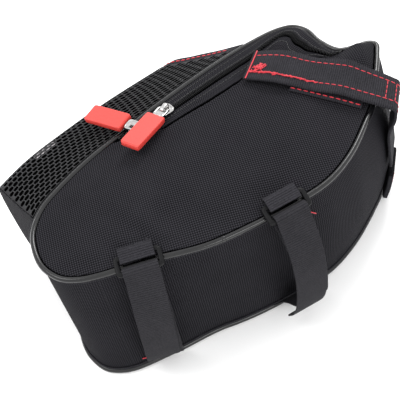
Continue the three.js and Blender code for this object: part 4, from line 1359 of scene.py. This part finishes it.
class OBJECT_OT_saddle_bag_post_strap(bpy.types.Operator):
    """Builds the seat-post strap, its root and the fixed strip below it, with their red thread"""

    bl_idname = "object.saddle_bag_post_strap"
    bl_label = "Seat-post strap"

    def strap(self):
        grid = post_strap_grid()
        band = cloth("post_webbing", grid, POST)
        dress(band, "dark_webbing", replaces=["seatpost_strap"])
        normals = grid_normals(grid)
        for number, column in enumerate(POST_SEAMS):
            sew("post_thread", grid[POST_SEAM_ROWS, column], normals[POST_SEAM_ROWS, column], f"_{number}")
        first, last = POST_SEAMS
        for number, row in enumerate(POST_BOX_ROWS):
            sew("post_box", grid[row, first : last + 1], normals[row, first : last + 1], f"_{number}")
        sew("post_tack", grid[POST_TACK_ROW], normals[POST_TACK_ROW])
        rng = np.random.default_rng(7)
        for number, row in enumerate(POST_BUNDLE_ROWS):
            loose = rng.normal(0, BUNDLE_SPREAD, (POST_TACK_ROW - row, 3))
            line, normal = grid[row:POST_TACK_ROW, last] + loose, normals[row:POST_TACK_ROW, last]
            sew("post_bundle", line, normal, f"_{number}")
        knot = grid[POST_KNOT] + rng.normal(0, 1, (KNOT_TURNS, 3)) * KNOT_SPREAD
        sew("post_knot", knot, UP)

    def root(self):
        edge = edges(POST_AT)
        rise = np.array([0.04, 0.1, 0.18, (BACK_LEVEL + ROOT_TALL) / HEIGHT])
        line = smooth_line(wall(POST_AT, rise, GAP + ROOT_THICK / 2), ROOT_STEPS)
        root = carry("post_root_webbing", line, edge.along, rounded_section(POST_WIDTH, ROOT_THICK, 28, 7.0))
        dress(root, "dark_webbing", replaces=["strap_root"])
        for number, offset in enumerate((-ROOT_SEAM, 0.0, ROOT_SEAM)):
            seam = line + edge.along * offset + edge.out * ROOT_THICK / 2
            sew("root_thread", seam, edge.out, f"_{number}")

    def strip(self):
        inwards = np.linspace(STRIP_FROM, STRIP_TO, STRIP_STEPS) * POST_REACH
        grid = post_rows(inwards, np.full(STRIP_STEPS, ON_PANEL + STRIP), STRIP_WIDTH, STRIP_SHIFT)
        strip = cloth("fixed_strip_webbing", grid, STRIP)
        dress(strip, "dark_webbing", replaces=["fixed_strip"])
        normals = grid_normals(grid)
        for number, column in enumerate((1, -2)):
            sew("strip_thread", grid[1:-1, column], normals[1:-1, column], f"_{number}")

    def execute(self, context):
        self.strap()
        self.root()
        self.strip()
        return {"FINISHED"}


SECTION_POINTS = np.column_stack([POCKET_SECTION, np.zeros(len(POCKET_SECTION))])
SECTION_SHARES, SECTION_T = even_steps(SECTION_POINTS, False)
FAR_POINTS = np.column_stack([np.array(POCKET_EDGE) * (LENGTH, DEPTH), np.zeros(len(POCKET_EDGE))])
FAR_SHARES, FAR_T = even_steps(FAR_POINTS, False)
FAR_WAY = unit(np.diff(curve(FAR_POINTS, np.array([0.998, 1.0]), False), axis=0))


def pocket(along, round_it, inset=0.0):
    """The pocket's outer face: from the wall's seam towards the far edge by the section's out share, at the
    section's rise. along runs from the closed end to the rim and round_it from the top piping to the back
    one. Past the rim the far edge runs on straight."""
    along, round_it, inset = np.broadcast_arrays(along, round_it, inset)
    a, r = along.ravel().astype(float), round_it.ravel().astype(float)
    section = curve(SECTION_POINTS, np.interp(r, SECTION_SHARES, SECTION_T), False)
    seam = wall(POCKET_FROM + (POCKET_TO - POCKET_FROM) * a, section[:, 1], EDGE_INSET + GAP)
    far = curve(FAR_POINTS, np.interp(np.minimum(a, 1), FAR_SHARES, FAR_T), False)
    far = far + FAR_WAY * (np.maximum(0, a - 1) * LENGTH * POCKET_RUN)[:, None]
    reach = far - seam * (1, 1, 0)
    share = section[:, 0] - inset.ravel() / np.linalg.norm(reach, axis=1)
    return (seam + reach * share[:, None]).reshape(along.shape + (3,))


def net_cells(columns, rows, hole):
    """A knitted net in the unit square: staggered cells, each a frame of eight quads round an eight-sided
    hole, with plain half cells at the ends of every other row. The holes are smaller at the far edge's fold
    and in the half next to the floor."""
    corners = np.array([(0, 0), (0.5, 0), (1, 0), (1, 0.5), (1, 1), (0.5, 1), (0, 1), (0, 0.5)], float)
    inner = [(-0.85, -0.8), (0, -1), (0.85, -0.8), (1, 0), (0.85, 0.8), (0, 1), (-0.85, 0.8), (-1, 0)]
    points, faces = [], []
    for row in range(rows):
        odd = row % 2
        starts = np.arange(columns - odd) + 0.5 * odd
        low = np.stack([starts, np.full(len(starts), float(row))], -1)[:, None]
        first = sum(len(p) for p in points) + np.arange(len(starts))[:, None] * 16
        folded = 1 - 0.9 * bell(row / rows, NET_FOLD, NET_FOLD_SPREAD)
        lower = 1 - (1 - NET_LOW_HOLE) * smoothstep(row / rows, *NET_LOW)
        opening = 0.5 + np.array(inner) * hole * folded * lower
        points.append(np.concatenate([low + corners, low + opening], 1).reshape(-1, 2))
        for k in range(8):
            n = (k + 1) % 8
            faces += np.concatenate([first + k, first + n, first + 8 + n, first + 8 + k], 1).tolist()
        for side, way in ((0.0, 1), (float(columns), -1)) if odd else ():
            base = sum(len(p) for p in points)
            inside = side + 0.5 * way
            half = [(side, row), (inside, row), (inside, row + 0.5), (inside, row + 1), (side, row + 1)]
            points.append(np.array(half[::way]))
            faces.append([base + k for k in range(5)])
    points = np.concatenate(points)
    keys = np.round(points * 1000).astype(int)
    _, first, inverse = np.unique(keys, axis=0, return_index=True, return_inverse=True)
    inverse = inverse.ravel()
    faces = [[int(inverse[k]) for k in face] for face in faces]
    return points[first] / (columns, rows), faces


class OBJECT_OT_saddle_bag_pocket(bpy.types.Operator):
    """Builds the net pocket with its rim, closed end and reflective patch"""

    bl_idname = "object.saddle_bag_pocket"
    bl_label = "Net pocket"

    def net(self):
        chosen = sizes()
        cells, faces = net_cells(chosen.net_columns, chosen.net_rows, chosen.net_hole)
        margins = np.array(NET_MARGINS)
        grid = pocket(*(margins + cells * (1 - 2 * margins)).T)
        net = new_mesh("net_strands", grid, [face[::-1] for face in faces])
        shell = net.modifiers.new("Wall", "SOLIDIFY")
        shell.thickness = NET_STRAND * 0.001
        shell.offset = -1
        dress(net, "net_strand", replaces=["pocket_net"])

        # Painted shade: a near-black sheet just behind the net stands in for the shadow inside the pocket,
        # and comes up to the net at the top and back pipings.
        along = np.linspace(0.004, 1 + 0.7 * RIM_SHARE, 60)
        round_it = np.linspace(0.015, 0.985, 80)
        grid = pocket(along[:, None], round_it[None])
        depth = SHADE_SHEET_DEPTH * smoothstep(np.minimum(round_it, 1 - round_it), 0.0, 0.04)
        shade_sheet = cloth("net_shade_sheet", grid - grid_normals(grid) * depth[None, :, None], SHADE_SHEET_THICK)
        dress(shade_sheet, "pocket_shade_black")

    def seams(self):
        share = np.linspace(POCKET_FROM, POCKET_TO, 220)
        section = rounded_section(*NET_SEAM, 10, 3.0)
        for name, rise in (("net_seam_top", 0.994), ("net_seam_back", 0.006)):
            cord = sweep(name, wall(share, rise, EDGE_INSET), edges(share).out, UP, section)
            dress(cord, "net_strand")

    def rim(self):
        across = np.linspace(1, 1 + RIM_SHARE, 9)
        lift = 0.5 * np.array([0, 0.25, 0.35, 0.35, 0.3, 0.35, 0.35, 0.25, 0])
        grid = pocket(across[:, None], np.linspace(0.01, 0.99, 90)[None], -lift[:, None])
        rim = cloth("rim_webbing", grid, RIM_THICK)
        dress(rim, "dark_webbing", replaces=["pocket_rim"])
        sew("rim_thread", grid[4, 4:-4], grid_normals(grid)[4, 4:-4])

        along = np.linspace(0.03, 0.97, 160)
        seam, beside = (pocket(along, at, -0.2) for at in (0.405, 0.44))
        outwards = unit(np.cross(np.gradient(seam, axis=0), beside - seam))
        outwards = outwards * np.sign(outwards[:, 1].mean())
        sew("pocket_thread", seam, outwards)

    def closed_end(self):
        outer = pocket(0.0, np.linspace(0.96, 0.04, 60))
        inner = wall(POCKET_FROM, (outer[:, 2] - BACK_LEVEL) / HEIGHT, GAP + POCKET_END)
        across = np.linspace(0, 1, 16)[None, :, None]
        grid = inner[:, None] + (outer - inner)[:, None] * across
        end = cloth("pocket_end_cloth", grid, POCKET_END)
        dress(end, "wall_cloth", replaces=["pocket_end"])
        lay_tapered(grid)

    def patch(self):
        grid = pocket(np.linspace(*PATCH_ALONG, 12)[:, None], np.linspace(*PATCH_ROUND, 10)[None])
        patch = cloth("reflective_film", grid - grid_normals(grid) * FILM_DEPTH, FILM)
        dress(patch, "reflective_film", replaces=["reflective_patch"])

    def execute(self, context):
        self.net()
        self.seams()
        self.rim()
        self.closed_end()
        self.patch()
        return {"FINISHED"}


class OBJECT_OT_saddle_bag_stage(bpy.types.Operator):
    """Builds the plain floor, the soft studio light and the camera"""

    bl_idname = "object.saddle_bag_stage"
    bl_label = "Stage"

    def add(self, name, data):
        obj = bpy.data.objects.new(name, data)
        bpy.context.scene.collection.objects.link(obj)
        return obj

    def floor(self):
        x = y = FLOOR_HALF
        mesh = bpy.data.meshes.new("floor")
        mesh.from_pydata([(-x, -y, 0), (x, -y, 0), (x, y, 0), (-x, y, 0)], [], [(0, 1, 2, 3)])
        floor = self.add("floor", mesh)
        floor.data.materials.append(floor_paint("floor", colours().floor))

    def light(self, scene):
        scene.world = bpy.data.worlds.new("studio")
        scene.world.use_nodes = True
        sky = scene.world.node_tree.nodes["Background"].inputs
        sky["Color"].default_value = (1, 1, 1, 1)
        sky["Strength"].default_value = SKY
        for name, (place, size, power) in LAMPS.items():
            light = bpy.data.lights.new(name, "AREA")
            light.shape = "SQUARE"
            light.size = size
            light.energy = power * sizes().light
            lamp = self.add(name, light)
            lamp.location = place
            lamp.rotation_mode = "QUATERNION"
            lamp.rotation_quaternion = (Vector(LAMP_TARGET) - Vector(place)).to_track_quat("-Z", "Y")

    def camera(self, scene):
        data = bpy.data.cameras.new("camera")
        data.lens = CAMERA_LENS
        data.sensor_width = CAMERA_SENSOR
        data.clip_start = 0.01
        turn = (
            Matrix.Rotation(-CAMERA_HEADING, 4, "Z")
            @ Matrix.Rotation(math.pi / 2 - CAMERA_DROP, 4, "X")
            @ Matrix.Rotation(CAMERA_ROLL, 4, "Z")
        )
        scene.camera = self.add("camera", data)
        scene.camera.matrix_world = Matrix.Translation(Vector(in_frame(CAMERA_AT))) @ turn
        scene.view_settings.view_transform = "Standard"

    def execute(self, context):
        self.floor()
        self.light(context.scene)
        self.camera(context.scene)
        return {"FINISHED"}


PIECES = (
    OBJECT_OT_saddle_bag_panels,
    OBJECT_OT_saddle_bag_piping,
    OBJECT_OT_saddle_bag_zip,
    OBJECT_OT_saddle_bag_pulls,
    OBJECT_OT_saddle_bag_straps,
    OBJECT_OT_saddle_bag_post_strap,
    OBJECT_OT_saddle_bag_pocket,
    OBJECT_OT_saddle_bag_stage,
)


class VIEW3D_PT_saddle_bag(bpy.types.Panel):
    bl_label = "Saddle Bag"
    bl_idname = "VIEW3D_PT_saddle_bag"
    bl_space_type = "VIEW_3D"
    bl_region_type = "UI"
    bl_category = "Saddle Bag"

    def draw(self, context):
        for group in (context.scene.saddle_bag_sizes, context.scene.saddle_bag_colours):
            for name in group.__annotations__:
                self.layout.prop(group, name)
        for piece in PIECES:
            self.layout.operator(piece.bl_idname)


CLASSES = (BagColours, BagSizes, *PIECES, VIEW3D_PT_saddle_bag)


def register():
    for each in CLASSES:
        bpy.utils.register_class(each)
    bpy.types.Scene.saddle_bag_colours = bpy.props.PointerProperty(type=BagColours)
    bpy.types.Scene.saddle_bag_sizes = bpy.props.PointerProperty(type=BagSizes)


def unregister():
    del bpy.types.Scene.saddle_bag_sizes
    del bpy.types.Scene.saddle_bag_colours
    for each in reversed(CLASSES):
        bpy.utils.unregister_class(each)


def main():
    register()
    for piece in PIECES:
        getattr(bpy.ops.object, piece.bl_idname.split(".")[1])()


if __name__ == "__main__":
    main()
